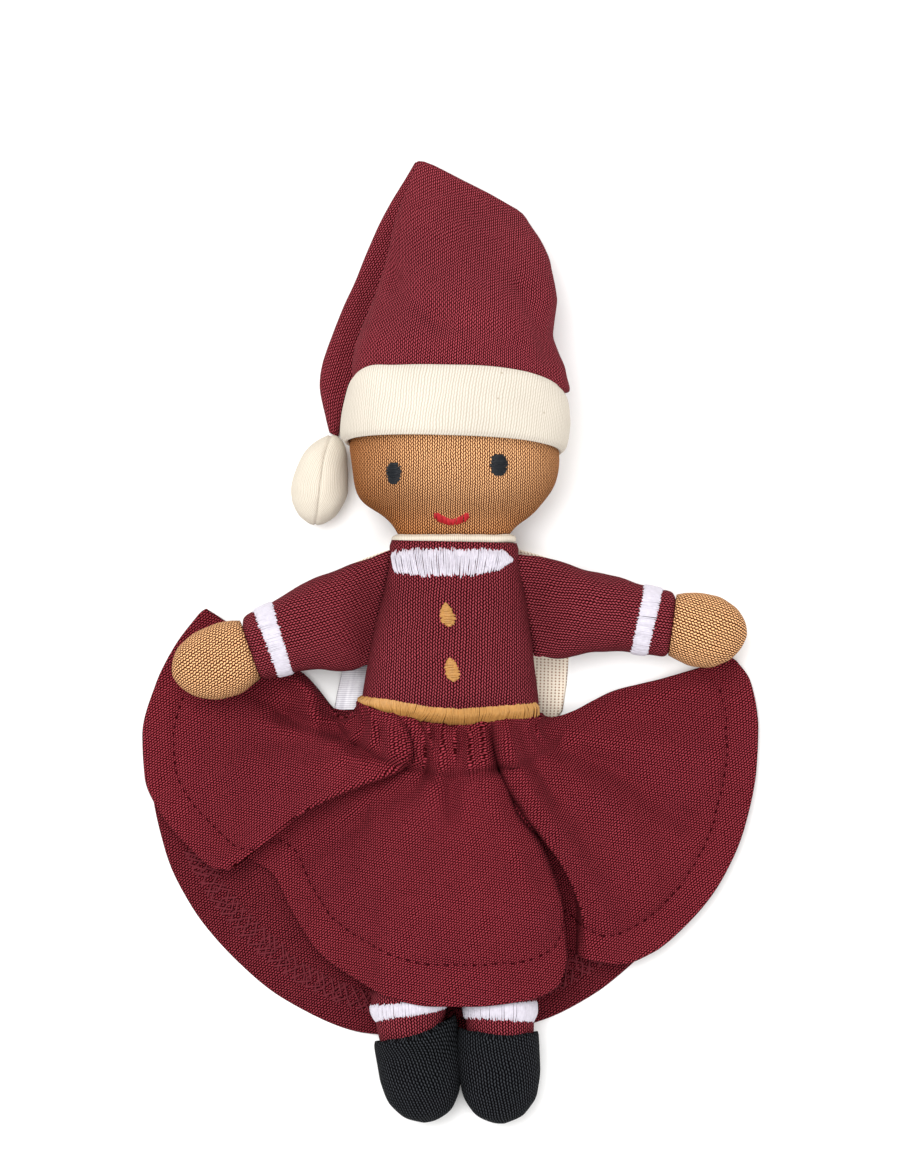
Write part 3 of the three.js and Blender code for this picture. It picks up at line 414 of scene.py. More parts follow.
# %% Knit
def knit(
    name, light, dark, wale, course, depth, fuzz=0.5, legs=0.22, lit=(0.68, 0.98), pinholes=None, closed=None
):
    """Stockinette jersey. wale and course are the real spacing of the columns and rows in millimetres.

    legs says how far the slanted legs of the stitches show beside the upright grooves, and lit gives the
    heights of the yarn between which its colour goes from dark to light. closed is a place, two distances
    from it and a tint for painted shade: the colour is kept near the place, and farther out it takes the tint.
    """
    material, tree, shader = new_material(name, 0.95)
    cloth = add_node(tree, "UVMap", uv_map=PANEL_MAP)
    place = add_node(tree, "TexCoord").outputs["Object"]
    split = add_node(tree, "SeparateXYZ", {0: cloth})
    # The columns and rows wander a little.
    wobble = add_node(tree, "TexNoise", {"Vector": place, "Scale": 160.0, "Detail": 2.0})
    drift = add_node(tree, "Math", {0: wobble, 1: 0.7 * wale, 2: split.outputs[0]}, operation="MULTIPLY_ADD")
    wales = add_node(tree, "Math", {0: drift, 1: wale}, operation="DIVIDE")
    sway = add_node(tree, "Math", {0: wobble, 1: 0.9 * course, 2: split.outputs[1]}, operation="MULTIPLY_ADD")
    courses = add_node(tree, "Math", {0: sway, 1: course}, operation="DIVIDE")
    # Across a wale the height rises over each of its two legs.
    from_edge = add_node(tree, "Math", {0: wales, 1: 0.5}, operation="PINGPONG")
    turn_across = add_node(tree, "Math", {0: from_edge, 1: 2 * math.pi}, operation="MULTIPLY")
    two_legs = add_node(tree, "Math", {0: turn_across}, operation="SINE")
    # Along it the legs slant, and every second leg is moved by half a course.
    doubled = add_node(tree, "Math", {0: wales, 1: 2.0}, operation="MULTIPLY")
    leg_count = add_node(tree, "Math", {0: doubled}, operation="FLOOR")
    stepped = add_node(tree, "Math", {0: leg_count, 1: 0.5, 2: courses}, operation="MULTIPLY_ADD")
    slanted = add_node(tree, "Math", {0: from_edge, 1: 1.2, 2: stepped}, operation="MULTIPLY_ADD")
    turn_along = add_node(tree, "Math", {0: slanted, 1: 2 * math.pi}, operation="MULTIPLY")
    wave = add_node(tree, "Math", {0: turn_along}, operation="SINE")
    # The heights are added up, with loose fibres on top.
    groove = add_node(tree, "Math", {0: from_edge, 1: 0.2}, operation="MULTIPLY")
    ribs = add_node(tree, "Math", {0: two_legs, 1: 0.65, 2: groove}, operation="MULTIPLY_ADD")
    loops = add_node(tree, "Math", {0: wave, 1: legs, 2: ribs}, operation="MULTIPLY_ADD")
    fibres = add_node(tree, "TexNoise", {"Vector": place, "Scale": 2600.0, "Detail": 3.0, "Roughness": 0.7})
    yarn = add_node(tree, "Math", {0: fibres, 1: fuzz, 2: loops}, operation="MULTIPLY_ADD")
    if pinholes:
        spots = add_node(tree, "TexVoronoi", {"Vector": place, "Scale": pinholes})
        hole = add_node(
            tree, "MapRange", {"Value": spots.outputs["Distance"], "From Min": 0.02, "From Max": 0.06}
        )
        yarn = add_node(tree, "Math", {0: yarn, 1: hole}, operation="MULTIPLY")
    # The colour goes dark where the yarn is low: painted shade between the yarns and in the pinholes.
    tone = add_node(tree, "MapRange", {"Value": yarn, "From Min": lit[0], "From Max": lit[1]})
    colour = add_node(tree, "Mix", {0: tone, 6: linear(dark), 7: linear(light)}, data_type="RGBA")
    patches = add_node(tree, "TexNoise", {"Vector": place, "Scale": 55.0, "Detail": 3.0})
    shade = add_node(tree, "MapRange", {"Value": patches, "To Min": 0.85, "To Max": 1.15})
    base = add_node(tree, "HueSaturation", {"Color": colour.outputs[2], "Value": shade}).outputs[0]
    if closed:
        # Painted shade: farther from the place, the colour is multiplied by the tint.
        centre, near, far, tint = closed
        offset = add_node(tree, "VectorMath", {0: place, 1: centre}, operation="DISTANCE").outputs["Value"]
        share = add_node(tree, "MapRange", {"Value": offset, "From Min": near, "From Max": far})
        base = add_node(
            tree, "Mix", {0: share, 6: base, 7: linear(tint)}, data_type="RGBA", blend_type="MULTIPLY"
        ).outputs[2]
    bump = add_node(tree, "Bump", {"Height": yarn, "Distance": depth * MM, "Strength": 0.9})
    show(tree, shader, base, bump)
    shader.inputs["Specular IOR Level"].default_value = 0.04
    return material


# The face stays lightest round this place. From 12 to 34 mm away it darkens and turns browner, as painted shade
# towards the sides of the head.
FACE_SHADE = ((0.006, 0.042, 0.042), 0.012, 0.034, "#c2a88e")
SOFT_CREAM = {"fuzz": 0.3, "legs": 0.08, "lit": (0.1, 0.85)}
dress_knit = knit("cotton_jersey_burgundy_brushed", "#983e48", "#220001", 1.36, 0.88, 0.25)
hat_knit = knit("cotton_jersey_burgundy_hat", "#a4434e", "#2a0102", 1.1, 0.88, 0.25)
skirt_knit = knit("cotton_jersey_burgundy_fine", "#943540", "#230001", 1.14, 0.87, 0.2)
# The inside knit is darker than the front's: partly the purl side, partly painted shade of the back layer lying
# under the front.
inside_knit_shaded = knit("cotton_jersey_burgundy_inside", "#86303a", "#1c0001", 1.14, 0.87, 0.2)
face_knit = knit(
    "wool_jersey_tan", "#f6bb85", "#4a1a08", 1.18, 0.93, 0.3, lit=(0.64, 0.88), closed=FACE_SHADE
)
hand_knit = knit("wool_jersey_tan_mitten", "#fbc18b", "#4a2008", 1.42, 0.92, 0.28, lit=(0.68, 0.94))
cream_knit = knit("cotton_jersey_cream", "#d6cec0", "#b6aa97", 1.0, 0.8, 0.06, **SOFT_CREAM)
brim_knit = knit(
    "cotton_jersey_cream_pinholed", "#d2cabe", "#a89d8b", 1.4, 0.9, 0.05, pinholes=160.0, **SOFT_CREAM
)
boot_knit = knit("wool_jersey_black", "#383a3e", "#020203", 1.5, 1.0, 0.35, legs=0.14, lit=(0.74, 1.02))
print("knits made")


# %% Open knit of the cape
def open_knit():
    """Mesh knit: upright rows of small holes 0.95 mm apart, coloured dark as painted shade in them."""
    material, tree, shader = new_material("cotton_mesh_knit_cream", 0.9)
    cloth = add_node(tree, "UVMap", uv_map=PANEL_MAP)
    place = add_node(tree, "TexCoord").outputs["Object"]
    split = add_node(tree, "SeparateXYZ", {0: cloth})
    waves = []
    for axis, spacing in ((0, 0.95), (1, 0.78)):
        turn = add_node(
            tree, "Math", {0: split.outputs[axis], 1: 2 * math.pi / spacing}, operation="MULTIPLY"
        )
        waves.append(add_node(tree, "Math", {0: turn}, operation="SINE"))
    both = add_node(tree, "Math", {0: waves[0], 1: 1.2, 2: waves[1]}, operation="MULTIPLY_ADD")
    rough = add_node(tree, "TexNoise", {"Vector": place, "Scale": 1800.0, "Detail": 3.0})
    uneven = add_node(tree, "Math", {0: rough, 1: 1.2, 2: both}, operation="MULTIPLY_ADD")
    # Where both waves are high there is a hole, coloured with painted shade.
    hole = add_node(
        tree, "MapRange", {"Value": uneven, "From Min": 1.3, "From Max": 2.2, "To Min": 1.0, "To Max": 0.0}
    )
    colour = add_node(tree, "Mix", {0: hole, 6: linear("#b08a70"), 7: linear("#f6e9d6")}, data_type="RGBA")
    bump = add_node(tree, "Bump", {"Height": hole, "Distance": 0.2 * MM, "Strength": 0.8})
    show(tree, shader, colour.outputs[2], bump)
    shader.inputs["Sheen Weight"].default_value = 0.1
    return material


mesh_knit = open_knit()
print("mesh knit made")

# %% [markdown]
# The trims are machine embroidery: rayon thread laid side by side in satin stitch. Rayon is a smooth, glossy
# filament, so the threads keep a highlight along their length. The ribbon behind the arm is woven satin,
# whose long floats of fine thread shine in one direction.

# %% Thread and satin
def thread(name, colour, roughness=0.42, gloss=0.5):
    material, tree, shader = new_material(name, roughness)
    place = add_node(tree, "TexCoord").outputs["Object"]
    twist = add_node(tree, "TexNoise", {"Vector": place, "Scale": 900.0, "Detail": 2.0})
    value = add_node(tree, "MapRange", {"Value": twist, "To Min": 0.8, "To Max": 1.15})
    base = add_node(tree, "HueSaturation", {"Color": linear(colour), "Value": value})
    bump = add_node(tree, "Bump", {"Height": twist, "Distance": 0.05 * MM, "Strength": 0.5})
    show(tree, shader, base.outputs[0], bump)
    shader.inputs["Specular IOR Level"].default_value = gloss
    return material


def satin():
    """Satin weave: floats across the ribbon, drawn 0.5 mm apart because real ones would not show.

    Long streaks stand for the bands of light that satin keeps along its folds.
    """
    material, tree, shader = new_material("polyester_satin_white", 0.34)
    cloth = add_node(tree, "UVMap", uv_map=PANEL_MAP)
    split = add_node(tree, "SeparateXYZ", {0: cloth})
    turn = add_node(tree, "Math", {0: split.outputs[1], 1: 2 * math.pi / 0.5}, operation="MULTIPLY")
    wave = add_node(tree, "Math", {0: turn}, operation="SINE")
    stretch = add_node(tree, "VectorMath", {0: cloth, 1: (0.55, 0.05, 1.0)}, operation="MULTIPLY")
    streaks = add_node(tree, "TexNoise", {"Vector": stretch, "Scale": 1.0, "Detail": 3.0})
    mixed = add_node(tree, "Math", {0: streaks, 1: 6.0, 2: wave}, operation="MULTIPLY_ADD")
    tone = add_node(tree, "MapRange", {"Value": mixed, "From Min": 0.2, "From Max": 4.2})
    colour = add_node(tree, "Mix", {0: tone, 6: linear("#a39dac"), 7: linear("#fdfbff")}, data_type="RGBA")
    bump = add_node(tree, "Bump", {"Height": wave, "Distance": 0.05 * MM, "Strength": 0.6})
    show(tree, shader, colour.outputs[2], bump)
    shader.inputs["Anisotropic"].default_value = 0.5
    return material


white_thread = thread("rayon_thread_white", "#cac5cf")
gold_thread = thread("rayon_thread_mustard", "#b98748")
black_thread = thread("rayon_thread_black", "#171b20", gloss=0.25)
red_thread = thread("rayon_thread_red", "#b01a25", gloss=0.35)
# This thread is darker than the cloth, as painted shade of the grooves that the stitches sink into.
seam_thread_shaded = thread("polyester_thread_burgundy", "#30040a", 0.9, gloss=0.03)
satin_weave = satin()


def tape():
    """Plain woven cotton tape for the strip between the torso and the legs, which the skirt hides."""
    material, tree, shader = new_material("cotton_tape_burgundy", 0.9)
    place = add_node(tree, "TexCoord").outputs["Object"]
    weave = add_node(tree, "TexWave", {"Vector": place, "Scale": 400.0, "Distortion": 1.0})
    colour = add_node(tree, "Mix", {0: weave, 6: linear("#480309"), 7: linear("#8a3a43")}, data_type="RGBA")
    show(tree, shader, colour.outputs[2])
    return material


print("threads, satin and tape made")


# %% Handing a piece to the frame
def settle(piece, body, material, stands_for=()):
    piece.data.materials.clear()
    piece.data.materials.append(material)
    if stands_for:
        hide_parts(*stands_for)
    if body:
        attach(piece, body)
    return piece


# %% [markdown]
# The torso and head are bags of knit, stuffed firm. Both are wrapped from the frame. The torso is sewn flat
# at the hips, and the head is drawn in at the neck, where it turns.

# %% Torso and head
def tucked(grid, way, depth, draw=0.93):
    """Draws the first section of a tube into the piece that it is sewn to."""
    grid = grid.copy()
    middle = grid[0, :-1].mean(axis=0)
    grid[0] = middle + (grid[0] - middle) * draw - np.array(way) * depth
    return grid


NECK = Vector(joints["neck_nod"]["pos_m"])
LAP = Vector(joints["lap_fold"]["pos_m"])
HEAD_MIDDLE = Vector((NECK.x + 0.6 * MM, 0, 22.5 * MM))
torso_low, torso_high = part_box("torso_skin")
head_low, head_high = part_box("head_skin")
HEAD_SWELLS = [(1.3, 5.0, px((364, 498))), (1.2, 4.0, px((350, 444))), (0.6, 4.0, px((530, 516)))]


def swollen(grid, swells):
    """Pushes the sides of a stuffed form out or in near places in plan: (push, width, place), in mm."""
    out = grid.copy()
    normals = normals_of(grid)
    for push, width, place in swells:
        away = np.linalg.norm(grid[:, :, :2] / MM - np.array(place[0]), axis=2)
        out[:, :, :2] += normals[:, :, :2] * (push * MM * bell(away, width))[:, :, None]
    return out


torso_grid = wrap(
    solid_tree("torso_skin"),
    (NECK.x, torso_high[1] - 0.1 * MM, NECK.z),
    (LAP.x - 0.2 * MM, torso_low[1] + 0.1 * MM, LAP.z + 0.2 * MM),
    rows=90,
    columns=129,
)
torso_grid = lumpy(rounded(torso_grid, 8, waves=13), 0.35 * MM, 9 * MM, 3.1)
# The bag is open at the neck, where rays miss it, so the rows there go straight on from the first sound one.
SOUND_ROW = 7
down_torso = (torso_grid[SOUND_ROW + 5, :-1].mean(axis=0) - torso_grid[SOUND_ROW, :-1].mean(axis=0)) / 5
for row in range(SOUND_ROW):
    torso_grid[row] = torso_grid[SOUND_ROW] - down_torso * (SOUND_ROW - row)
torso_form = Form(torso_grid)
torso_grid = tucked(torso_grid, (0, -1, 0), 0.9 * MM, draw=0.97)
torso = settle(
    cloth_from("torso_cloth", torso_grid), "torso", dress_knit, ["torso_skin", "torso_stuffing"],
)

head_grid = wrap(
    solid_tree("head_skin"),
    (NECK.x, head_low[1] + 0.1 * MM, NECK.z),
    (HEAD_MIDDLE.x, head_high[1] - 0.1 * MM, HEAD_MIDDLE.z),
    rows=150,
    columns=193,
    round_end=24 * MM,
)
head_grid = lumpy(rounded(head_grid, 24), 0.3 * MM, 14 * MM, 8.4)
head_grid[:, :, 1] = np.maximum(head_grid[:, :, 1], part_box("neck_band")[0][1] + 0.9 * MM)
head_grid = swollen(head_grid, HEAD_SWELLS)
head = settle(
    cloth_from("head_cloth", head_grid), "head", face_knit, ["head_skin", "head_stuffing"],
)
print("torso", len(torso.data.vertices), "points, head", len(head.data.vertices), "points")

# %% [markdown]
# Each arm is a sleeve sewn into the side seam with a mitten sewn to its end. The section that is sewn to
# the torso slants along the seam, so the sections turn from that slant to square as they go down the arm.

# %% Sleeves and hands
# A sleeve sags by a drop over a width round a place along X, in mm. At 1 only its upper edge sags.
ARM_SAGS = {"left": (-1.4, 13.0, -29, 0.0), "right": (-2.2, 9.5, 36, 1.0)}


def make_arm(side, seed, knit_turn):
    seam = joints["shoulder_" + side]
    shoulder = Vector(seam["pos_m"])
    along_seam = Vector(seam["axis"])
    if along_seam.y < 0:
        along_seam.negate()
    tip = farthest("hand_" + side, shoulder)
    hand_points = node_points("hand_" + side)
    reach = np.linalg.norm(hand_points - np.array(tip), axis=1)
    wrist = Vector(hand_points[reach > reach.max() * 0.93].mean(axis=0))
    wrist.z = tip.z
    straight = (tip - wrist).normalized()
    square = straight.cross(UP)
    if square.y < 0:
        square.negate()
    sleeve_grid = wrap(solid_tree("sleeve_" + side), shoulder, wrist, 90, 97, (along_seam, square))
    sleeve_grid = lumpy(rounded(sleeve_grid, 10), 0.4 * MM, 6.5 * MM, seed)
    upward = np.clip(normals_of(sleeve_grid)[:, :, 1], 0, 1)
    drop, width, place, top_only = ARM_SAGS[side]
    near = bell(sleeve_grid[:, :, 0] / MM, width, place)
    sleeve_grid[:, :, 1] += drop * MM * near * (1 - top_only + top_only * upward)
    hand_grid = wrap(
        solid_tree("hand_" + side), wrist + straight * 0.2 * MM, tip, 70, 97, (square, square),
        round_end=8 * MM,
    )
    hand_grid = lumpy(rounded(hand_grid, 14, waves=6), 0.2 * MM, 7 * MM, seed + 4)
    way = (wrist - shoulder).normalized()
    sewn = tucked(sleeve_grid, way, 1.4 * MM, draw=1.0)
    sleeve = settle(
        cloth_from("sleeve_cloth_" + side, sewn), None, dress_knit,
        ["sleeve_" + side, "arm_stuffing_" + side],
    )
    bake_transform(sleeve)
    hand_grid = tucked(hand_grid, straight, 1.5 * MM)
    hand = cloth_from("hand_cloth_" + side, hand_grid, cloth_map(hand_grid, turned=math.radians(knit_turn)))
    settle(hand, "arm_" + side, hand_knit, ["hand_" + side])
    return Form(sleeve_grid), sleeve, hand


arms = {"left": make_arm("left", 1.7, 17), "right": make_arm("right", 5.2, 14)}
print("arms made")

# %% [markdown]
# The legs are stockings sewn to knitted boots. They lie under the skirt and show below its hem.

# %% Stockings and boots
LEG_ROWS, BOOT_ROWS, ANKLE_ROW = 100, 80, 93
# How far a boot's top edge is moved up: all of it, its middle, and its side next to the other boot, in mm.
TOP_RISES = {"left": (-1.3, 0.0, 7.0), "right": (1.2, -1.7, 0.8)}
ANKLE_SWELLS = {"left": [(1.3, 3.5, px((371, 1006)))], "right": []}
KNIT_LEANS = {"left": math.radians(19), "right": math.radians(10)}


def make_leg(side, seed):
    hip = Vector(joints["splay_" + side]["pos_m"]) - Vector((0, 0.3 * MM, 0))
    toe = farthest("boot_" + side, hip)
    boot_points = node_points("boot_" + side)
    ankle = Vector(boot_points[boot_points[:, 1] > boot_points[:, 1].max() - 2.5 * MM].mean(axis=0))
    toe.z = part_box("boot_" + side)[1][2] / 2
    across = Vector((-1, 0, 0))
    boot_way = (toe - ankle).normalized()
    boot_across = Vector((boot_way.y, -boot_way.x, 0)).normalized()
    leg_grid = wrap(solid_tree("stocking_" + side), hip, ankle, LEG_ROWS, 81, (across, across))
    leg_grid = swollen(lumpy(rounded(leg_grid, 12), 0.4 * MM, 8 * MM, seed), ANKLE_SWELLS[side])
    boot_grid = wrap(
        solid_tree("boot_" + side), ankle + boot_way * 0.6 * MM, toe, BOOT_ROWS, 97, (across, boot_across),
        round_end=8.5 * MM,
    )
    boot_grid = lumpy(rounded(boot_grid, 20, waves=4), 0.2 * MM, 8 * MM, seed + 3)
    # The boot is a little wider than its solid, and its open end stands up higher.
    outer = boot_grid[:, :, 0].min() if side == "left" else boot_grid[:, :, 0].max()
    boot_grid[:, :, 0] = outer + (boot_grid[:, :, 0] - outer) * 1.03
    inward = np.abs(boot_grid[:, :, 0] - outer) / (20 * MM)
    near_top = bell(np.arange(BOOT_ROWS), 10)[:, None]
    base, dip, rise = TOP_RISES[side]
    middle_rise = dip * np.sin(np.pi * np.clip(inward, 0, 1))
    boot_grid[:, :, 1] += MM * near_top * (base + middle_rise + rise * inward**3)
    boot_grid[:, :, 2] *= 1 + 0.07 * near_top
    # Below its open end it is drawn in on the side next to the other boot.
    towards = 1 if side == "left" else -1
    near_crease = bell(np.arange(BOOT_ROWS), 14, 8)[:, None]
    boot_grid[:, :, 0] += towards * 0.7 * MM * near_crease * inward**4
    boot_grid = tucked(boot_grid, boot_way, 0.5 * MM, draw=0.98)
    body = "leg_" + side
    # The stocking's last rows run on into the boot.
    middle = leg_grid[ANKLE_ROW, :-1].mean(axis=0)
    inside_boot = np.array(ankle + boot_way * 1.6 * MM)
    inside_boot[0] = middle[0] * 0.7 + inside_boot[0] * 0.3
    inside_boot[2] = middle[2] * 0.9
    for row in range(ANKLE_ROW, LEG_ROWS):
        step = (row - ANKLE_ROW) / (LEG_ROWS - 1 - ANKLE_ROW)
        narrowed = (leg_grid[ANKLE_ROW] - middle) * (1 - 0.07 * step**2)
        leg_grid[row] = narrowed + middle + (inside_boot - middle) * step
    stocking = settle(
        cloth_from("stocking_cloth_" + side, leg_grid), body, dress_knit,
        ["stocking_" + side, "leg_stuffing_" + side],
    )
    boot = cloth_from("boot_cloth_" + side, boot_grid, cloth_map(boot_grid, turned=KNIT_LEANS[side]))
    settle(boot, body, boot_knit, ["boot_" + side])
    return Form(leg_grid), stocking


legs = {"left": make_leg("left", 2.2), "right": make_leg("right", 6.9)}
settle(frame["nodes"]["hip_strip"], None, tape())
print("legs made")

# %% [markdown]
# The hat is one cone of knit. Its crown fits the head, its top is folded over, and its tail hangs behind.
# The cream brim is a thicker band round the crown, and the bobble is sewn from two half panels.

# %% Crown and tail of the hat
fold = joints["tail_unfold"]
fold_place = Vector(fold["pos_m"])
fold_way = Vector(fold["axis"])
crown_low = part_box("hat_crown")[0]
crown_start = Vector((HEAD_MIDDLE.x, crown_low[1] + 0.4 * MM, HEAD_MIDDLE.z))
crown_end = Vector((fold_place.x, fold_place.y, 7.6 * MM))
crown_end -= (crown_end - crown_start).normalized() * 0.2 * MM
crown_grid = wrap(solid_tree("hat_crown"), crown_start, crown_end, 120, 161, (Vector((1, 0, 0)), fold_way))
crown_grid = lumpy(rounded(crown_grid, 6, waves=16), 0.7 * MM, 16 * MM, 4.4)


def rounded_tips(grid, radius=2.0 * MM):
    """Rounds the two corners of a flattened tube at its first section."""
    out = grid.copy()
    run = np.concatenate([[0], np.cumsum(np.linalg.norm(np.diff(grid.mean(axis=1), axis=0), axis=1))])
    for row in np.flatnonzero(run < radius):
        pull = (radius - math.sqrt(radius**2 - (radius - run[row]) ** 2)) / radius
        middle = grid[row, :-1].mean(axis=0)
        away = grid[row] - middle
        reach = np.linalg.norm(away[:, :2], axis=1, keepdims=True)
        out[row, :, :2] -= away[:, :2] / reach.max() * (reach / reach.max()) ** 2 * pull * radius
    return out


# Hollows and swellings that show in the light: the height and width of each in mm, and its line.
CROWN_DENTS = [
    (-1.8, 3.4, px((380, 266), (406, 292), (442, 322))), (-1.5, 2.6, px((522, 288), (538, 322), (550, 356))),
    (1.1, 4.6, px((545, 290), (558, 335), (566, 372))), (0.9, 6.0, px((440, 200), (468, 262), (484, 322))),
    (-0.9, 3.5, px((404, 232), (396, 262), (384, 300))), (0.8, 4.0, px((372, 300), (362, 340), (352, 358))),
    (-1.0, 3.0, px((470, 330), (500, 338), (520, 352))),
]
crown_grid = dented(crown_grid, CROWN_DENTS)
CROWN_SWELLS = [(0.9, 6.0, px((538, 240))), (0.7, 3.0, px((432, 164))), (0.5, 6.0, px((400, 200)))]
SLUMP_DEPTH = 2.4 * MM
# On its right the crown slumps down on the brim.
section = np.linspace(0, 1, crown_grid.shape[0])[:, None]
rightward = np.clip(normals_of(crown_grid)[:, :, 0], 0, 1) ** 3
slump = bell(section, 0.045, 0.165) * rightward * np.clip((section - 0.1) / 0.03, 0, 1)
crown_grid[:, :, 0] += SLUMP_DEPTH * slump
crown_grid[:, :, 1] -= SLUMP_DEPTH * slump
crown_grid = swollen(crown_grid, CROWN_SWELLS)
crown_grid = rounded_tips(crown_grid[::-1])[::-1]
crown = settle(
    cloth_from("crown_cloth", crown_grid), "head", hat_knit, ["hat_crown"]
)

tail_start = Vector((fold_place.x, fold_place.y, 2.5 * MM))
tail_end = Vector(joints["bobble_swing"]["pos_m"])
tail_end.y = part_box("hat_tail")[0][1] + 0.3 * MM
tail_end.z = 2.4 * MM
tail_tree = solid_tree("hat_tail")


def tail_grid_of(rows, columns):
    """Flattened sections on the bowed middle line of the tail, the first along the fold."""
    way = (tail_end - tail_start).normalized()
    square = Vector((-way.y, way.x, 0))
    grid = np.zeros((rows, columns, 3))
    for row in range(rows):
        share = row / (rows - 1)
        centre = tail_start.lerp(tail_end, min(max(share, 0.01), 0.985))
        side = fold_way.lerp(square, min(share * 3, 1)).normalized()
        edges = [tail_tree.ray_cast(centre + side * s * REACH, -side * s, REACH)[0] for s in (1, -1)]
        edges = [edge or centre + side * s * MM for edge, s in zip(edges, (1, -1))]
        # The last seventh narrows to half the width, towards the bobble.
        end = min(max((share - 0.86) / 0.14, 0), 1) ** 2
        middle = (edges[0] + edges[1]) / 2 + Vector((0.3 * MM, -2.2 * MM, 0)) * end
        half = (edges[0] - edges[1]) / 2 * (1 - 0.5 * end)
        top = tail_tree.ray_cast(middle + UP * REACH, -UP, REACH)[0]
        deep = (top.z if top else 3 * MM) / 2
        for column in range(columns):
            turn = turn_of(column, columns)
            across = math.copysign(abs(math.cos(turn)) ** 0.85, math.cos(turn))
            rise = math.copysign(abs(math.sin(turn)) ** 0.85, math.sin(turn))
            place = middle + half * across
            place.z = deep + rise * deep
            grid[row, column] = place
    grid[:, -1] = grid[:, 0]
    return grid


tail_grid = lumpy(rounded(tail_grid_of(110, 81), 12), 0.35 * MM, 9 * MM, 2.6)
# Past the fold the tail's left edge lies 1.15 mm farther in.
leftward = np.clip(-normals_of(tail_grid)[:, :, 0], 0, 1)
past_fold = bell(tail_grid[:, :, 1] / MM, 17, 86, power=4)
tail_grid[:, :, 0] += 1.15 * MM * leftward * past_fold
tail_grid = rounded_tips(tail_grid)
tail = settle(
    cloth_from("tail_cloth", tail_grid), "hat_tail", hat_knit, ["hat_tail"]
)
print("crown", len(crown.data.vertices), "points, tail", len(tail.data.vertices), "points")


# %% Bands of doubled cloth
BAND_REACH = REACH - 6 * MM


def band_grid(name, centre, columns, rows):
    """The outside of a band round the line through centre along Y, from its lower edge to its upper one."""
    low, high = (corner[1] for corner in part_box(name))
    tree = solid_tree(name)
    edges = np.zeros((columns, 2))
    for column in range(columns):
        turn = turn_of(column, columns)
        way = Vector((math.cos(turn), 0, math.sin(turn)))
        hits = [
            y for y in np.linspace(low, high, 90)
            if tree.ray_cast(Vector((centre.x, y, centre.z)) + way * REACH, -way, BAND_REACH)[0]
        ]
        edges[column] = hits[0], hits[-1]
    waves = np.fft.rfft(edges[:-1], axis=0)
    waves[6:] = 0
    edges[:-1] = np.fft.irfft(waves, n=columns - 1, axis=0)
    edges[-1] = edges[0]
    grid = np.zeros((rows, columns, 3))
    for column in range(columns):
        turn = turn_of(column, columns)
        way = Vector((math.cos(turn), 0, math.sin(turn)))
        first, last = edges[column]
        for row in range(rows):
            y = first + (last - first) * (0.03 + 0.94 * row / (rows - 1))
            hit = tree.ray_cast(Vector((centre.x, y, centre.z)) + way * REACH, -way, BAND_REACH)[0]
            grid[row, column] = hit or grid[max(row - 1, 0), column]
    missing = np.abs(grid).sum(axis=2) == 0
    for row in range(rows - 1, -1, -1):
        grid[row][missing[row]] = grid[min(row + 1, rows - 1)][missing[row]]
    grid[:, -1] = grid[:, 0]
    return grid


def rolled_section(outer, inner, grid):
    """Rows that run out over a band, round its edge and back inside it, so both edges are rolled."""
    rims = []
    for edge, step in ((0, grid[0] - grid[3]), (-1, grid[-1] - grid[-4])):
        for _ in range(6):
            padded = np.pad(step, ((1, 1), (0, 0)), mode="edge")
            step = (padded[:-2] + padded[1:-1] + padded[2:]) / 3
        step = step / np.maximum(np.linalg.norm(step, axis=-1, keepdims=True), 1e-9)
        middle, half = (outer[edge] + inner[edge]) / 2, (outer[edge] - inner[edge]) / 2
        depth = np.linalg.norm(half, axis=-1, keepdims=True)
        angles = [math.pi * i / 5 for i in range(1, 5)]
        rims.append([middle + half * math.cos(a) + step * math.sin(a) * depth for a in angles])
    low, high = rims
    return np.array([*outer, *high, *inner[::-1], *low[::-1], outer[0]])


def thick_band(name, grid, wall, puff=0.0, turned=0.0):
    """A band of cloth folded double: its edges are rolled and its middle swells a little."""
    normals = normals_of(grid)
    shares = np.linspace(0, 1, grid.shape[0])[:, None, None]
    outer = grid + normals * (puff * np.sin(np.pi * shares) ** 0.5 - 0.3 * wall * (2 * shares - 1) ** 8)
    section = rolled_section(outer, grid - normals * wall, grid)
    return cloth_from(name, section, cloth_map(section, turned=turned), close=False)


# %% Brim and neck band
brim_grid = rounded(band_grid("hat_brim", HEAD_MIDDLE, 193, 36), 3)
brim_grid = lumpy(brim_grid, 0.5 * MM, 13 * MM, 6.6)
# The brim is drawn in towards the cheeks, by up to 2.2 mm at its right end and 0.8 mm at its left end,
# and its upper left corner stands 1.1 mm higher.
facing = normals_of(brim_grid)[:, :, 0]
down_brim = 1 - np.linspace(0, 1, brim_grid.shape[0])[:, None]
brim_grid[:, :, 0] -= MM * np.clip(facing, 0, 1) ** 2 * (0.2 + 2.0 * down_brim**1.5)
brim_grid[:, :, 0] += MM * np.clip(-facing, 0, 1) ** 2 * (0.8 - 0.4 * down_brim)
top_left = bell(brim_grid[:, :, 0] / MM, 5, -21) * (1 - down_brim) ** 3
brim_grid[:, :, 1] += 1.1 * MM * top_left
brim = settle(
    thick_band("brim_cloth", brim_grid, 1.7 * MM, 0.5 * MM, math.radians(-9)), "head", brim_knit,
    ["hat_brim"],
)

neck_grid = rounded(band_grid("neck_band", NECK, 161, 12), 1)
# The neck is drawn in by a twentieth between the head and the collar.
neck_grid[:, :, 0] = NECK.x + (neck_grid[:, :, 0] - NECK.x) * 0.955
neck_grid = lumpy(neck_grid, 0.5 * MM, 5 * MM, 9.1)
neck_band = settle(
    thick_band("neck_band_cloth", neck_grid, 1.1 * MM, puff=0.25 * MM), "torso", cream_knit, ["neck_band"],
)
print("brim", len(brim.data.vertices), "points, neck band", len(neck_band.data.vertices), "points")


